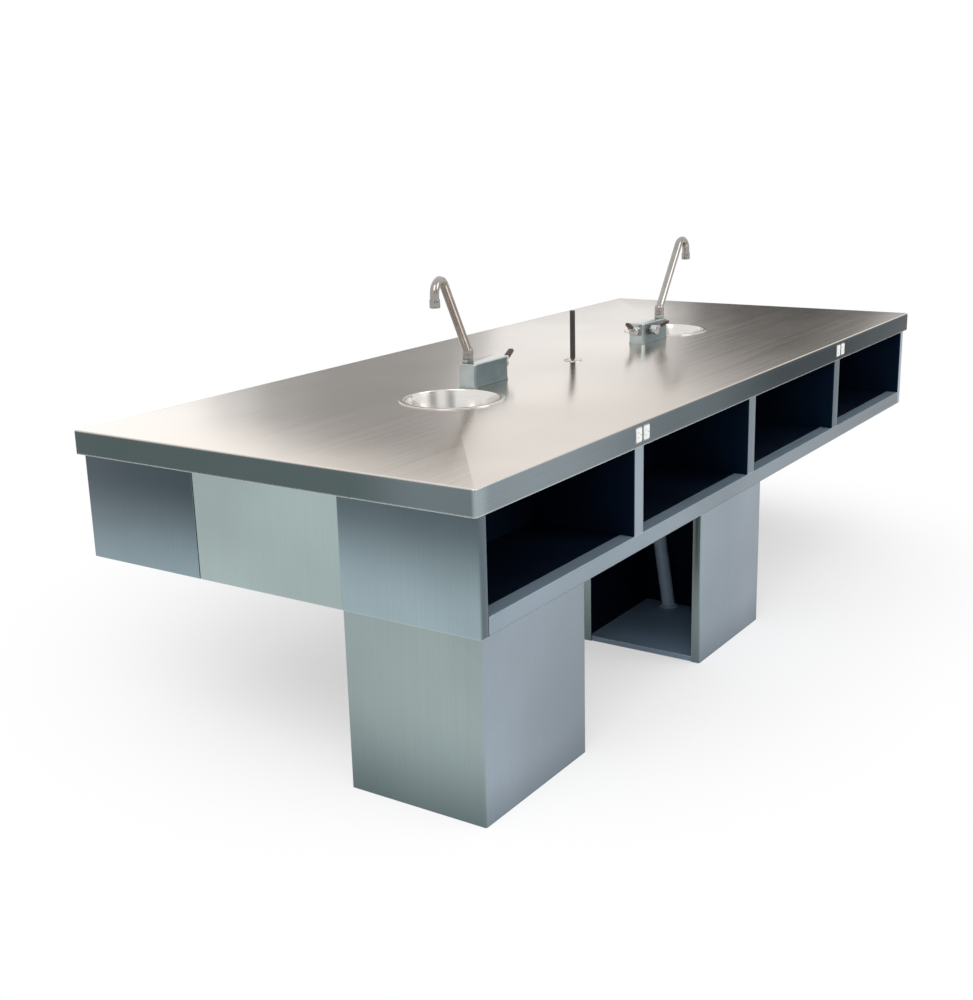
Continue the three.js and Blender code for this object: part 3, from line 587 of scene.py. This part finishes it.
def place_copy(piece, name, move):
    """A copy of the piece, moved from where it lies."""
    copy = piece.copy()
    copy.data = piece.data.copy()
    copy.name = name
    copy.data.transform(move)
    bpy.context.collection.objects.link(copy)
    return copy


def half_turn(piece, name):
    """A copy of the piece, turned half round the middle of the bench."""
    return place_copy(piece, name, Matrix.Rotation(math.pi, 4, "Z"))


row_end_x, post_x, row_face, row_back, post_back = 1.38, 1.35, -0.582, -0.217, -0.292
row_low, row_high, shelf_z = 0.425, 0.729, 0.467
mid_post_x = (row_end_x + post_x) / 2
for side, near, far in ((-1, "left", "right"), (1, "right", "left")):
    outside, inside = side * row_end_x, side * post_x
    plan = [(outside, row_back), (outside, row_face), (inside, row_face), (inside, post_back)]
    row_end = fold_sheet(f"front_row_end_{near}", plan, row_low, row_high, (side, 0, 0))
    line_faces(
        row_end, steel_end, painted_shade,
        lambda place, normal: -normal.x * side > 0.7 and abs(place.x) < mid_post_x,
    )
    back_end = half_turn(row_end, f"back_row_end_{far}")
    # The back end takes the darker copy, painted shade.
    back_end.data.materials[0] = steel_far_end
    dress(row_end, "bench", "stainless", [], f"front_end_{near}")
    dress(back_end, "bench", "stainless", [], f"back_end_{far}")
half_post, divider_back = 0.025, -0.295
outlet_room = Vector((0.04, -0.5627, 0.6987))
for x, place, far in ((-outlet_x, "left", "right"), (0, "middle", "middle"), (outlet_x, "right", "left")):
    near_x, far_x = x - half_post, x + half_post
    plan = [(near_x, divider_back), (near_x, row_face), (far_x, row_face), (far_x, divider_back)]
    divider = fold_sheet(f"front_divider_post_{place}", plan, shelf_z, row_high, (-1, 0, 0))
    if x:
        low = (x - outlet_room.x, row_face - 0.01, outlet_room.z)
        notch = add_block("notch", low, (x + outlet_room.x, outlet_room.y, row_high + 0.011))
        combine(divider, notch, "DIFFERENCE")
    line_faces(divider, steel_post, painted_shade, lambda place, normal: abs(normal.x) > 0.7)
    back_divider = half_turn(divider, f"back_divider_post_{far}")
    dress(divider, "bench", "stainless", [], f"front_divider_{place}")
    dress(back_divider, "bench", "stainless", [], f"back_divider_{far}")
for row in ("front", "back"):
    for name, finish in (("rail", steel_rail), ("shelf_floor", painted_shade), ("shelf_back", painted_shade)):
        paint(f"{row}_{name}", finish)
    cad[f"{row}_rail"].modifiers.new("weld", "WELD")
    bend = cad[f"{row}_rail"].modifiers.new("bend", "BEVEL")
    bend.width = 0.001
    bend.segments = 2

# Service space: a folded panel closes it at each end, flush with the row ends, and channel
# pieces tie the two rows together across it.
steel_panel = steel_sheet("steel_panel", blue_steel, (0.37, 0.455, 0.445), blue_steel, upright)
panel_lip = 0.02
for side, end in ((-1, "left"), (1, "right")):
    outside, inside = side * row_end_x, side * (row_end_x - panel_lip)
    plan = [(inside, row_back), (outside, row_back), (outside, -row_back), (inside, -row_back)]
    panel = fold_sheet(f"service_end_panel_{end}", plan, row_low, row_high, (0, -1, 0))
    dress(panel, "bench", "stainless", [steel_panel], f"service_panel_{end}")
    paint(f"cross_tie_{end}", steel_rail)

# Pedestals: hollow legs folded from one sheet, with a flanged mouth towards the knee space for
# reaching the pipes. Inside they are near black, painted shade; a flat plate with a turned-up lip is the
# floor.
# Pedestal ends painted darker towards the floor, and fronts darker at the foot: painted shade.
leg_bright, leg_dim, leg_foot = (0.31, 0.378, 0.378), (0.1, 0.14, 0.15), (0.19, 0.23, 0.27)
steel_leg = steel_sheet("steel_pedestal", blue_steel, leg_bright, blue_steel, upright, glance=0.8, sheen_width=0.001)
grade(steel_leg, "End", "Z", (-0.1, leg_dim), (0.25, leg_bright))
grade(steel_leg, "Front", "Z", (-0.06, leg_foot), (0.12, blue_steel))
# Base plate lips painted dark, painted shade; the plate floor a bluish tone, a painted tint of the shade
# inside the pedestals.
dark_lip, plate_floor = (0.19, 0.27, 0.35), (0.4, 0.6, 0.82)
plate_steel = steel_sheet("plate_steel", dark_lip, dark_lip, plate_floor, along, rough=(0.5, 0.65), metal=0.3)
mouth_lip = 0.025
for kind, mouth, wall in (("end", -0.955, -row_end_x), ("inner", -0.325, 0.075)):
    plan = [
        (mouth, row_face + mouth_lip), (mouth, row_face), (wall, row_face),
        (wall, row_back), (mouth, row_back), (mouth, row_back - mouth_lip),
    ]
    pedestal = fold_sheet(f"front_{kind}_leg", plan, 0, row_low, (math.copysign(1, mouth - wall), 0, 0))
    middle = Vector(((mouth + wall) / 2, (row_face + row_back) / 2))

    def faces_in(place, normal):
        inward = middle - place.xy
        return normal.z < 0.5 and inward.dot(normal.xy) > 0.05 * inward.length

    line_faces(pedestal, steel_leg, painted_shade, faces_in)
    back_pedestal = half_turn(pedestal, f"back_{kind}_leg")
    dress(pedestal, "bench", "stainless", [], f"front_{kind}_pedestal")
    dress(back_pedestal, "bench", "stainless", [], f"back_{kind}_pedestal")
    for row in ("front", "back"):
        paint(f"{row}_{kind}_base_plate", plate_steel)

# Basins: bowls spun from sheet and dropped into round holes, so that the flange lies on the worktop
# and seals to it. Spinning leaves fine rings in the polish, from the flange down to the drain.
spun, given, result = new_group("Spun Rings", {"Centre": "Vector", "Count": "Float"}, {"Rings": "Float"})
where = add_node(spun, "TexCoord", {})
from_centre = add_node(
    spun, "VectorMath", {0: where.outputs["Object"], 1: given["Centre"]}, operation="SUBTRACT"
).outputs["Vector"]
across = add_node(spun, "VectorMath", {0: from_centre, 1: (1, 1, 0)}, operation="MULTIPLY")
reach = add_node(spun, "VectorMath", {0: across.outputs["Vector"]}, operation="LENGTH")
depth = add_node(spun, "SeparateXYZ", {"Vector": from_centre})
run = add_node(spun, "Math", {0: reach.outputs["Value"], 1: depth.outputs["Z"]}, operation="SUBTRACT")
rings = {"W": run.outputs["Value"], "Scale": given["Count"], "Detail": 3}
ring_noise = add_node(spun, "TexNoise", rings, noise_dimensions="1D")
feed(spun, result, {"Rings": ring_noise.outputs["Fac"]})


def spun_steel(name, centre, pale, dull, rough):
    """Turned or spun steel: rings of tone, gloss and relief round the middle of the piece."""
    metal, tree, shader = new_finish(name)
    rings = add_node(tree, "Group", {"Centre": centre, "Count": 900}, node_tree=spun).outputs["Rings"]
    surface = {
        "Metallic": 1,
        "Base Color": two_tone(tree, rings, 0.32, dull, 0.68, pale),
        "Roughness": map_to(tree, rings, 0.3, 0.7, *rough),
        "Normal": relief(tree, rings, 0.05, 0.0004),
    }
    feed(tree, shader, surface)
    return metal


def close_up(nearest, caps):
    """Joins doubled points of the piece being edited, caps its ends and leaves it facing out."""
    bpy.ops.mesh.select_all(action="SELECT")
    bpy.ops.mesh.remove_doubles(threshold=nearest)
    if caps:
        bpy.ops.mesh.fill_holes(sides=0)
    bpy.ops.mesh.select_all(action="SELECT")
    bpy.ops.mesh.normals_make_consistent(inside=False)
    bpy.ops.object.mode_set(mode="OBJECT")


def turn_rings(name, x, y, rings, sides=64, caps=True):
    """Draws a turned piece ring by ring, extruding a circle through the radii and heights given."""
    bpy.ops.object.select_all(action="DESELECT")
    radius, z = rings[0]
    bpy.ops.mesh.primitive_circle_add(vertices=sides, radius=radius, location=(x, y, z))
    piece = settle(name)
    bpy.ops.object.mode_set(mode="EDIT")
    bpy.ops.mesh.select_all(action="SELECT")
    for (r0, z0), (r1, z1) in zip(rings, rings[1:]):
        push((0, 0, z1 - z0))
        bpy.ops.transform.resize(value=(r1 / r0, r1 / r0, 1), center_override=(x, y, z1))
    close_up(1e-5, caps)
    return piece


def arc(r, z, radius, first, last, steps):
    """Radii and heights along a rounded corner of a turned piece, by its angles in degrees."""
    angles = [math.radians(first + (last - first) * i / steps) for i in range(steps + 1)]
    return [(r + radius * math.cos(a), z + radius * math.sin(a)) for a in angles]


flange = [(0.1398, 0.7502), (0.1398, 0.7512), *arc(0.1383, 0.751, 0.0015, 30, 90, 3), (0.1292, 0.7525)]
throat = [*arc(0.129, 0.7495, 0.003, 100, 172, 5), (0.1222, 0.735), (0.1148, 0.7)]
floor_turn = [*arc(0.07, 0.649, 0.034, 0, -90, 10), (0.045, 0.6148), (0.0207, 0.6146)]
bowl_rings = flange + throat + floor_turn
bowl = turn_rings("left_basin_bowl", basin_place.x, basin_place.y, bowl_rings, 128, caps=False)
bpy.ops.object.mode_set(mode="EDIT")
flange_top = max(bmesh.from_edit_mesh(bowl.data).faces, key=lambda face: face.calc_center_median().z)
if flange_top.normal.z < 0:
    bpy.ops.mesh.select_all(action="SELECT")
    bpy.ops.mesh.flip_normals()
bpy.ops.object.mode_set(mode="OBJECT")
bowl_thick = 0.0018
thicken(bowl, bowl_thick)
right_bowl = half_turn(bowl, "right_basin_bowl")
spun_pale, spun_dull = (0.8, 0.78, 0.75), (0.68, 0.66, 0.63)
for side, piece, at in (("left", bowl, basin_place), ("right", right_bowl, -basin_place)):
    basin_steel = spun_steel(f"basin_steel_{side}", (at.x, at.y, top_z), spun_pale, spun_dull, (0.12, 0.24))
    line_faces(
        piece, basin_steel, top_finish, lambda place, normal: place.z > 0.7505 and normal.z > 0.5
    )
    dress(piece, "bench", "stainless", [], f"{side}_basin")


# Basin wastes: chromed brass tails with a flange in the bowl and a drilled strainer, screwed
# into the bottle trap below.
def chrome_plate(name, front, end, top):
    """Polished chrome: tones by facing, painted light and shade per side, with a thin film left by wiping
    that dulls it in patches.
    """
    chrome, tree, plate = new_finish(name)
    sizes = {"Grain Size": 420, "Mottle Size": 28}
    film = add_node(tree, "Group", sizes, node_tree=moulded).outputs["Mottle"]
    tint = two_tone(tree, film, 0.3, (0.82, 0.82, 0.82), 0.65, (1, 1, 1))
    surface = {
        "Metallic": 1,
        "Base Color": multiply(tree, tone_by_facing(tree, front, end, top), tint),
        "Roughness": map_to(tree, film, 0.35, 0.7, 0.08, 0.2),
        "Normal": relief(tree, film, 0.01, 0.0004),
    }
    feed(tree, plate, surface)
    return chrome


# Top faces painted a little lighter than the sides: painted light.
smudge_and_sheen = chrome_plate("chrome_plate", (0.5, 0.5, 0.5), (0.5, 0.5, 0.5), (0.62, 0.62, 0.62))


def add_rod(name, radius, start, end, sides=48):
    """A straight rod between two points, with its place in its mesh."""
    bpy.ops.object.select_all(action="DESELECT")
    a, b = Vector(start), Vector(end)
    turned = (b - a).to_track_quat("Z", "Y").to_euler()
    bpy.ops.mesh.primitive_cylinder_add(
        vertices=sides, radius=radius, depth=(b - a).length, location=(a + b) / 2, rotation=turned
    )
    return settle(name)


tail_rings = [(0.017, 0.5432), (0.0198, 0.5432), (0.0198, 0.6153), (0.0322, 0.6153)]
lip_rings = [*arc(0.0318, 0.6157, 0.0011, -20, 90, 4), (0.0212, 0.617), (0.0182, 0.6162), (0.017, 0.615)]
drain_rings = tail_rings + lip_rings + [(0.017, 0.5432)]
drain = turn_rings("left_drain", basin_place.x, basin_place.y, drain_rings, caps=False)
plate_low, plate_high, drill = 0.613, 0.6151, 0.0019
strainer = add_rod("strainer", 0.0182, (*basin_place.xy, plate_low), (*basin_place.xy, plate_high))
for ring, count in ((0, 1), (0.006, 6), (0.0118, 12)):
    for i in range(count):
        spoke = 2 * math.pi * i / count
        x = basin_place.x + ring * math.cos(spoke)
        y = basin_place.y + ring * math.sin(spoke)
        bit = add_rod("drill", drill, (x, y, plate_low - drill), (x, y, plate_high + drill), 16)
        combine(strainer, bit, "DIFFERENCE")
combine(drain, strainer, "UNION")
right_drain = half_turn(drain, "right_drain")
dress(drain, "bench", "chrome", [smudge_and_sheen], "left_waste")
dress(right_drain, "bench", "chrome", [smudge_and_sheen], "right_waste")

# Traps and waste pipes: grey plastic. A bottle trap with a screwed cup takes each waste, and a pipe
# runs from it through the service space and leans down inside the inner pedestal into the floor.
# The plastic is grey; the blue in these tones is a painted tint of the shade in the pedestals.
grey_pale, grey_dull = (0.6, 0.78, 0.94), (0.49, 0.65, 0.8)
grey_plastic = plain_skin("grey_plastic", grey_pale, grey_dull, (0.32, 0.46), grain=500, mottle=7, bump=0.06)


def bend_tube(name, radius, corners, bend, sides=40, collar=0.0):
    """Draws a round tube along straight runs and bends, with a raised collar beside each bend."""
    bpy.ops.object.select_all(action="DESELECT")
    points = [Vector(corner) for corner in corners]
    heading = (points[1] - points[0]).normalized()
    lie = heading.to_track_quat("Z", "Y").to_euler()
    bpy.ops.mesh.primitive_circle_add(vertices=sides, radius=radius, location=points[0], rotation=lie)
    tube = settle(name)
    bpy.ops.object.mode_set(mode="EDIT")
    bpy.ops.mesh.select_all(action="SELECT")
    here = points[0]
    swell = 1.16

    def ring(at, grow):
        push((0, 0, 0))
        bpy.ops.transform.resize(value=(grow, grow, grow), center_override=at)

    for corner, after in zip(points[1:], points[2:]):
        leaving = (after - corner).normalized()
        angle = heading.angle(leaving)
        setback = bend * math.tan(angle / 2)
        start, end = corner - heading * setback, corner + leaving * setback
        if collar:
            push(start - heading * collar - here)
            ring(start - heading * collar, swell)
            push(heading * collar)
            ring(start, 1 / swell)
        else:
            push(start - here)
        axle = heading.cross(leaving).normalized()
        pivot = start + axle.cross(heading) * bend
        steps = max(4, round(math.degrees(angle) / 6))
        bpy.ops.mesh.spin(steps=steps, angle=angle, center=pivot, axis=-axle)
        here, heading = end, leaving
        if collar:
            ring(end, swell)
            push(leaving * collar)
            here = end + leaving * collar
            ring(here, 1 / swell)
    push(points[-1] - here)
    close_up(1e-6, True)
    return tube


outlet_level = 0.518
run_to = Vector((0.043, -0.22856, outlet_level))
level = Vector((basin_place.x, basin_place.y, outlet_level))
outward = (run_to - level).normalized()
cup = [(0.028, 0.438), *arc(0.031, 0.441, 0.003, -90, 0, 3), (0.034, 0.462), (0.0365, 0.463), (0.0365, 0.484)]
shell = [(0.034, 0.485), (0.034, 0.5395), *arc(0.031, 0.54, 0.003, 0, 90, 3), (0.0272, 0.543)]
neck = [(0.0272, 0.552), (0.03, 0.553), (0.03, 0.571), (0.0285, 0.573), (0.0208, 0.573), (0.0208, 0.5427)]
bottle = turn_rings("left_bottle_trap", basin_place.x, basin_place.y, cup + shell + neck, 48)
bpy.ops.object.mode_set(mode="EDIT")


def is_rib(face):
    place = face.calc_center_median()
    spoke = place.xy - basin_place.xy
    on_nut = 0.555 < place.z < 0.57 or 0.465 < place.z < 0.483
    outside = abs(face.normal.z) < 0.2 and spoke.length > 0.025
    return on_nut and outside and math.cos(12 * math.atan2(spoke.y, spoke.x)) > 0


pick("FACE", is_rib)
bpy.ops.mesh.extrude_region_shrink_fatten(TRANSFORM_OT_shrink_fatten={"value": 0.0012})
bpy.ops.object.mode_set(mode="OBJECT")
stub = add_rod("stub", 0.0256, level, level + outward * 0.06)
socket_nut = add_rod("socket_nut", 0.0285, level + outward * 0.042, level + outward * 0.0598, 12)
combine(stub, socket_nut, "UNION")
combine(bottle, stub, "UNION")
combine(bottle, add_rod("bore", 0.0207, level + outward * 0.0295, level + outward * 0.07), "DIFFERENCE")
pipe_foot = Vector((0.043, -0.30806))
pipe_run = (level + outward * 0.03, run_to, (*pipe_foot, 0.00607))
pipe = bend_tube("left_waste_run", 0.02, pipe_run, 0.07, collar=0.022)
combine(pipe, add_rod("floor_seal", 0.0268, (*pipe_foot, 0.0032), (*pipe_foot, 0.0075)), "UNION")
for piece, name, node in ((bottle, "bottle_trap", "trap"), (pipe, "waste_run", "waste_pipe")):
    far_piece = half_turn(piece, f"right_{name}")
    dress(piece, "bench", "grey_plastic", [grey_plastic], f"left_{node}")
    dress(far_piece, "bench", "grey_plastic", [grey_plastic], f"right_{node}")

# Mixer bodies: cast brass blocks, ground, polished and chromed. Two shanks pass through the worktop
# with a nut under the sheet; stems at the far end and the back carry levers, a spigot the spout.
# Fronts painted dark, ends mid and tops pale: painted shade and highlight by facing.
mixer_chrome = chrome_plate("mixer_chrome", (0.13, 0.17, 0.175), (0.42, 0.46, 0.45), (0.6, 0.61, 0.6))
tap_half_long, tap_half_wide, tap_top = 0.083, 0.028, 0.816
skirt_z, stem_z, shank_foot, spigot_top = 0.7555, 0.792, 0.6903, 0.8459
low = (-tap_half_long, -tap_half_wide, top_z + hair)
body = add_block("left_mixer", low, (tap_half_long, tap_half_wide, tap_top))
bpy.ops.object.mode_set(mode="EDIT")
round_edges(is_upright, 0.009, 5)
round_edges(lambda edge: all(v.co.z > tap_top - hair for v in edge.verts), 0.005, 4)
bpy.ops.mesh.select_all(action="SELECT")
bpy.ops.mesh.bisect(plane_co=(0, 0, skirt_z), plane_no=(0, 0, 1))
pick("FACE", lambda face: abs(face.normal.z) < 0.2 and face.calc_center_median().z < skirt_z)
bpy.ops.mesh.extrude_region_shrink_fatten(TRANSFORM_OT_shrink_fatten={"value": 0.0016})
round_edges(lambda edge: all(abs(v.co.z - skirt_z) < hair for v in edge.verts), 0.0006, 2)
bpy.ops.object.mode_set(mode="OBJECT")
for x in (-shank_apart, shank_apart):
    shank = add_rod("shank", 0.0099, (x, 0, shank_foot), (x, 0, 0.752), 32)
    combine(body, shank, "UNION")
spigot_at, hot_at = (-0.064, 0.008), 0.035
stem, stem_out = 0.0049, 0.0128
cold_end, hot_end = tap_half_long + stem_out, tap_half_wide + stem_out
combine(body, add_rod("cold_stem", stem, (0, 0, stem_z), (cold_end, 0, stem_z), 24), "UNION")
combine(body, add_rod("hot_stem", stem, (hot_at, 0, stem_z), (hot_at, hot_end, stem_z), 24), "UNION")
combine(body, add_rod("spigot", 0.0079, (*spigot_at, 0.81), (*spigot_at, spigot_top), 32), "UNION")
body.data.transform(Matrix.Translation((tap_place.x, tap_place.y, 0)))
spout_place = tap_place.xy + Vector(spigot_at)
ring_nut = add_rod("left_ring_nut", 0.0179, (*spout_place, 0.8161), (*spout_place, 0.826), 6)


def is_level(edge):
    return abs(edge.verts[0].co.z - edge.verts[1].co.z) < hair


bpy.ops.object.mode_set(mode="EDIT")
round_edges(is_upright, 0.0012, 2)
round_edges(is_level, 0.0014, 2)
bpy.ops.object.mode_set(mode="OBJECT")
combine(ring_nut, add_rod("bore", 0.0083, (*spout_place, 0.81), (*spout_place, 0.83)), "DIFFERENCE")
for piece, name, node in ((body, "mixer", "tap_body"), (ring_nut, "ring_nut", "spout_nut")):
    far_piece = half_turn(piece, f"right_{name}")
    dress(piece, "bench", "chrome", [mixer_chrome], f"left_{node}", smooth=30)
    dress(far_piece, "bench", "chrome", [mixer_chrome], f"right_{node}", smooth=30)

# Spouts: chromed tube bent to a hook and brazed into a ball on a hub that turns on the spigot.
# A small cup at the end of the tube carries the aerator.
# A dark brownish tone, painted reflection of dark surroundings, with tops a little paler: painted light.
spout_tone = (0.36, 0.338, 0.317)
spout_chrome = chrome_plate("spout_chrome", spout_tone, spout_tone, (0.42, 0.4, 0.38))
ball_z = 0.8483
hub_rings = [(0.0084, 0.8464), (0.0084, 0.8263), (0.0141, 0.8263), (0.015, 0.8272), (0.015, 0.8335)]
waist = [(0.0143, 0.8344), (0.0143, 0.8366), (0.015, 0.8375)]
hub = turn_rings("left_spout_pipe", *spout_place, hub_rings + waist + arc(0, ball_z, 0.015, 0, 84, 12), 64)
spring = Vector((*spout_place, ball_z))
hook_out, hook_level, hook_turn, hook_drop = 0.194, 0.175, 0.032, 0.026
hook_in = hook_out - hook_turn
lean = math.atan2(hook_level, hook_in) + math.asin(hook_turn / math.hypot(hook_level, hook_in))
tip = spring + Vector((-hook_out, 0, hook_level - hook_drop))
corners = (spring, spring + Vector((-hook_out, 0, hook_out * math.tan(lean))), tip)
combine(hub, bend_tube("hooked_tube", 0.012, corners, hook_turn, 48), "UNION")
foot = [(0.0098, tip.z - 0.006), (0.0098, tip.z - 0.0079), *arc(0.0119, tip.z - 0.006, 0.002, -90, 0, 3)]
brim = [(0.0139, tip.z + 0.0125), (0.0134, tip.z + 0.014), (0.0127, tip.z + 0.014), (0.0127, tip.z - 0.0003)]
cup_end = turn_rings("left_aerator_cup", tip.x, tip.y, foot + brim, 48)
left_turn = math.radians(10)
swing = Matrix.Translation(spring) @ Matrix.Rotation(left_turn, 4, "Z") @ Matrix.Translation(-spring)
for piece, name, node in ((hub, "spout_pipe", "spout"), (cup_end, "aerator_cup", "aerator")):
    far_piece = half_turn(piece, f"right_{name}")
    piece.data.transform(swing)
    dress(piece, "left_spout_swivel", "chrome", [spout_chrome], f"left_{node}", smooth=30)
    dress(far_piece, "right_spout_swivel", "chrome", [spout_chrome], f"right_{node}", smooth=30)

# Lever handles: cast and chromed, a round hub pressed on each valve stem and a lever tilted up and
# away from the body. A dark moulded grip is pushed over the end of each lever.
tilt_up = math.radians(32)
lever_root, lever_stub, grip_from, grip_end = 0.013, 0.02, 0.028, 0.058
grip_pale, grip_dark = (0.07, 0.038, 0.028), (0.045, 0.024, 0.018)
grip = plain_skin("lever_grip", grip_pale, grip_dark, (0.32, 0.48), grain=700, mottle=40)


def lever_handle(name):
    """A lever handle that stands off along +X, its hub starting at the origin."""
    bore, bore_end, past_bore = 0.0053, 0.0133, 0.0003
    hub_start = [(bore, bore_end), (bore, 0.0004), (0.0145, 0.0004), (0.015, 0.001)]
    hub_end = [*arc(0.0125, 0.0215, 0.0025, 0, 80, 3), (0.009, 0.024)]
    knob = turn_rings(name, 0, 0, hub_start + hub_end, 48)
    knob.data.transform(Matrix.Rotation(math.pi / 2, 4, "Y"))
    lever = add_block("lever", (0, -0.008, -0.0048), (lever_stub, 0.008, 0.0048))
    bpy.ops.object.mode_set(mode="EDIT")
    for length, shrink in ((grip_from - lever_stub, 0.94), (0.0004, 1.12), (0.0226, 0.96), (0.007, 0.86)):
        far = max(v.co.x for v in bmesh.from_edit_mesh(lever.data).verts)
        pick("FACE", lambda face: face.normal.x > 0.9 and face.calc_center_median().x > far - hair)
        push((length, 0, 0))
        bpy.ops.transform.resize(value=(1, shrink, shrink), center_override=(far + length, 0, 0))
    round_edges(lambda edge: abs(edge.verts[0].co.x - edge.verts[1].co.x) > 0.003, 0.0026, 4)
    round_edges(lambda edge: is_fold(edge) and all(v.co.x > grip_end - hair for v in edge.verts), 0.0024, 3)
    bpy.ops.object.mode_set(mode="OBJECT")
    line_faces(knob, smudge_and_sheen, grip, lambda place, normal: False)
    line_faces(lever, smudge_and_sheen, grip, lambda place, normal: place.x > grip_from)
    lever.data.transform(Matrix.Translation((lever_root, 0, 0)) @ Matrix.Rotation(-tilt_up, 4, "Y"))
    trim = add_rod("trim", bore + past_bore, (-0.01, 0, 0), (bore_end + past_bore, 0, 0), 48)
    combine(lever, trim, "DIFFERENCE")
    combine(knob, lever, "UNION")
    return knob


for water, stem_at, spin_by in (
    ("cold", (tap_half_long, 0, stem_z), 0),
    ("hot", (hot_at, tap_half_wide, stem_z), math.pi / 2),
):
    handle = lever_handle(f"left_{water}_lever")
    valve = Matrix.Translation((tap_place.x, tap_place.y, 0)) @ Matrix.Translation(stem_at)
    handle.data.transform(valve @ Matrix.Rotation(spin_by, 4, "Z"))
    far_handle = half_turn(handle, f"right_{water}_lever")
    dress(handle, f"left_{water}_valve", "chrome", [], f"left_{water}_handle", smooth=30)
    dress(far_handle, f"right_{water}_valve", "chrome", [], f"right_{water}_handle", smooth=30)

# Supply pipes: half-inch copper, bent cold and nutted to the tap shanks. They run along the back of
# the row and down through the end pedestal to the floor.
copper_pale, copper_dull = (0.62, 0.3, 0.17), (0.42, 0.19, 0.11)
copper_pipe = plain_skin(
    "copper_pipe", copper_pale, copper_dull, (0.22, 0.42), grain=300, mottle=11, bump=0.05, metal=1.0
)
pipe_top, pipe_end, nut_low, nut_high = 0.689, 0.001, 0.6702, 0.6899
for water, shank, level_z, line_y, down_x in (
    ("hot", tap_place.x - shank_apart, 0.62, -0.245, -1.02),
    ("cold", tap_place.x + shank_apart, 0.58, -0.268, -1.07),
):
    corners = (
        (shank, tap_place.y, pipe_top),
        (shank, tap_place.y, level_z),
        (shank, line_y, level_z),
        (down_x, line_y, level_z),
        (down_x, line_y, pipe_end),
    )
    supply = bend_tube(f"left_{water}_pipe", 0.0075, corners, 0.045, 24)
    low, high = (shank, tap_place.y, nut_low), (shank, tap_place.y, nut_high)
    swivel_nut = add_rod("swivel_nut", 0.014, low, high, 6)
    bpy.ops.object.mode_set(mode="EDIT")
    round_edges(is_level, 0.0012, 2)
    bpy.ops.object.mode_set(mode="OBJECT")
    combine(supply, swivel_nut, "UNION")
    far_supply = half_turn(supply, f"right_{water}_pipe")
    dress(supply, "bench", "copper_pipe", [copper_pipe], f"left_{water}_supply")
    dress(far_supply, "bench", "copper_pipe", [copper_pipe], f"right_{water}_supply")

# Power outlets: white moulded duplex sockets fixed behind the rim, each pair of faces standing through
# two windows in it. Two flat slots and a round earth hole in each face.
white_pale, white_dull = (0.84, 0.85, 0.83), (0.74, 0.75, 0.74)
white_plastic = plain_skin(
    "white_plastic", white_pale, white_dull, (0.34, 0.46), grain=800, mottle=30, bump=0.05
)
outlet = add_block("outlet_pattern", (-0.0375, 0.003, -0.021), (0.0375, 0.027, 0.021))
bpy.ops.object.mode_set(mode="EDIT")
bpy.ops.mesh.select_all(action="SELECT")
bpy.ops.mesh.bevel(offset=0.0012, segments=2, affect="EDGES")
bpy.ops.object.mode_set(mode="OBJECT")
face_y, slot_end = -0.002, 0.009
for x in (-socket_shift, socket_shift):
    face = add_block("socket_face", (x - 0.014, face_y, -0.017), (x + 0.014, 0.004, 0.017))
    bpy.ops.object.mode_set(mode="EDIT")
    round_edges(lambda edge: abs(edge.verts[0].co.y - edge.verts[1].co.y) > 0.003, 0.004, 4)
    round_edges(lambda edge: all(v.co.y < face_y + hair for v in edge.verts), 0.0009, 2)
    bpy.ops.object.mode_set(mode="OBJECT")
    combine(outlet, face, "UNION")
    for z in (-0.00625, 0.00625):
        slot = add_block("slot", (x - 0.0075, -0.003, z - 0.001), (x, slot_end, z + 0.001))
        combine(outlet, slot, "DIFFERENCE")
    earth_x = x + 0.0075
    combine(outlet, add_rod("earth", 0.0024, (earth_x, -0.003, 0), (earth_x, slot_end, 0), 24), "DIFFERENCE")
for x, place, far in ((-outlet_x, "left", "right"), (outlet_x, "right", "left")):
    move = Matrix.Translation((x, -half_width, outlet_z))
    front_outlet = place_copy(outlet, f"front_duplex_{place}", move)
    back_outlet = half_turn(front_outlet, f"back_duplex_{far}")
    dress(front_outlet, "bench", "white_plastic", [white_plastic], f"front_outlet_{place}")
    dress(back_outlet, "bench", "white_plastic", [white_plastic], f"back_outlet_{far}")
bpy.data.objects.remove(outlet)

# Riser: a dark upright tube through the middle of the worktop, for a gas or air lead, held by a flange
# that is screwed down over the hole.
black_pale, black_dark = (0.035, 0.03, 0.027), (0.02, 0.017, 0.016)
black_plastic = plain_skin("black_plastic", black_pale, black_dark, (0.26, 0.42), grain=600, mottle=20)
post_end = [*arc(0.0058, 0.8975, 0.0022, 0, 90, 4), (0.002, 0.8997)]
riser = turn_rings("riser_post", 0, 0, [(0.007, 0.679), (0.008, 0.68), (0.008, 0.8955), *post_end], 40)
cover_rings = [
    (0.0087, 0.7502), (0.0276, 0.7502), (0.028, 0.7508), (0.0278, 0.752),
    (0.015, 0.7553), (0.0135, 0.756), (0.0087, 0.756), (0.0087, 0.7502),
]
cover = turn_rings("riser_cover", 0, 0, cover_rings, 64, caps=False)
dress(riser, "bench", "black_plastic", [black_plastic], "riser")
cover_steel = spun_steel("cover_steel", (0, 0, top_z), (0.8, 0.73, 0.66), (0.7, 0.64, 0.58), (0.18, 0.28))
dress(cover, "bench", "stainless", [cover_steel], "riser_flange")
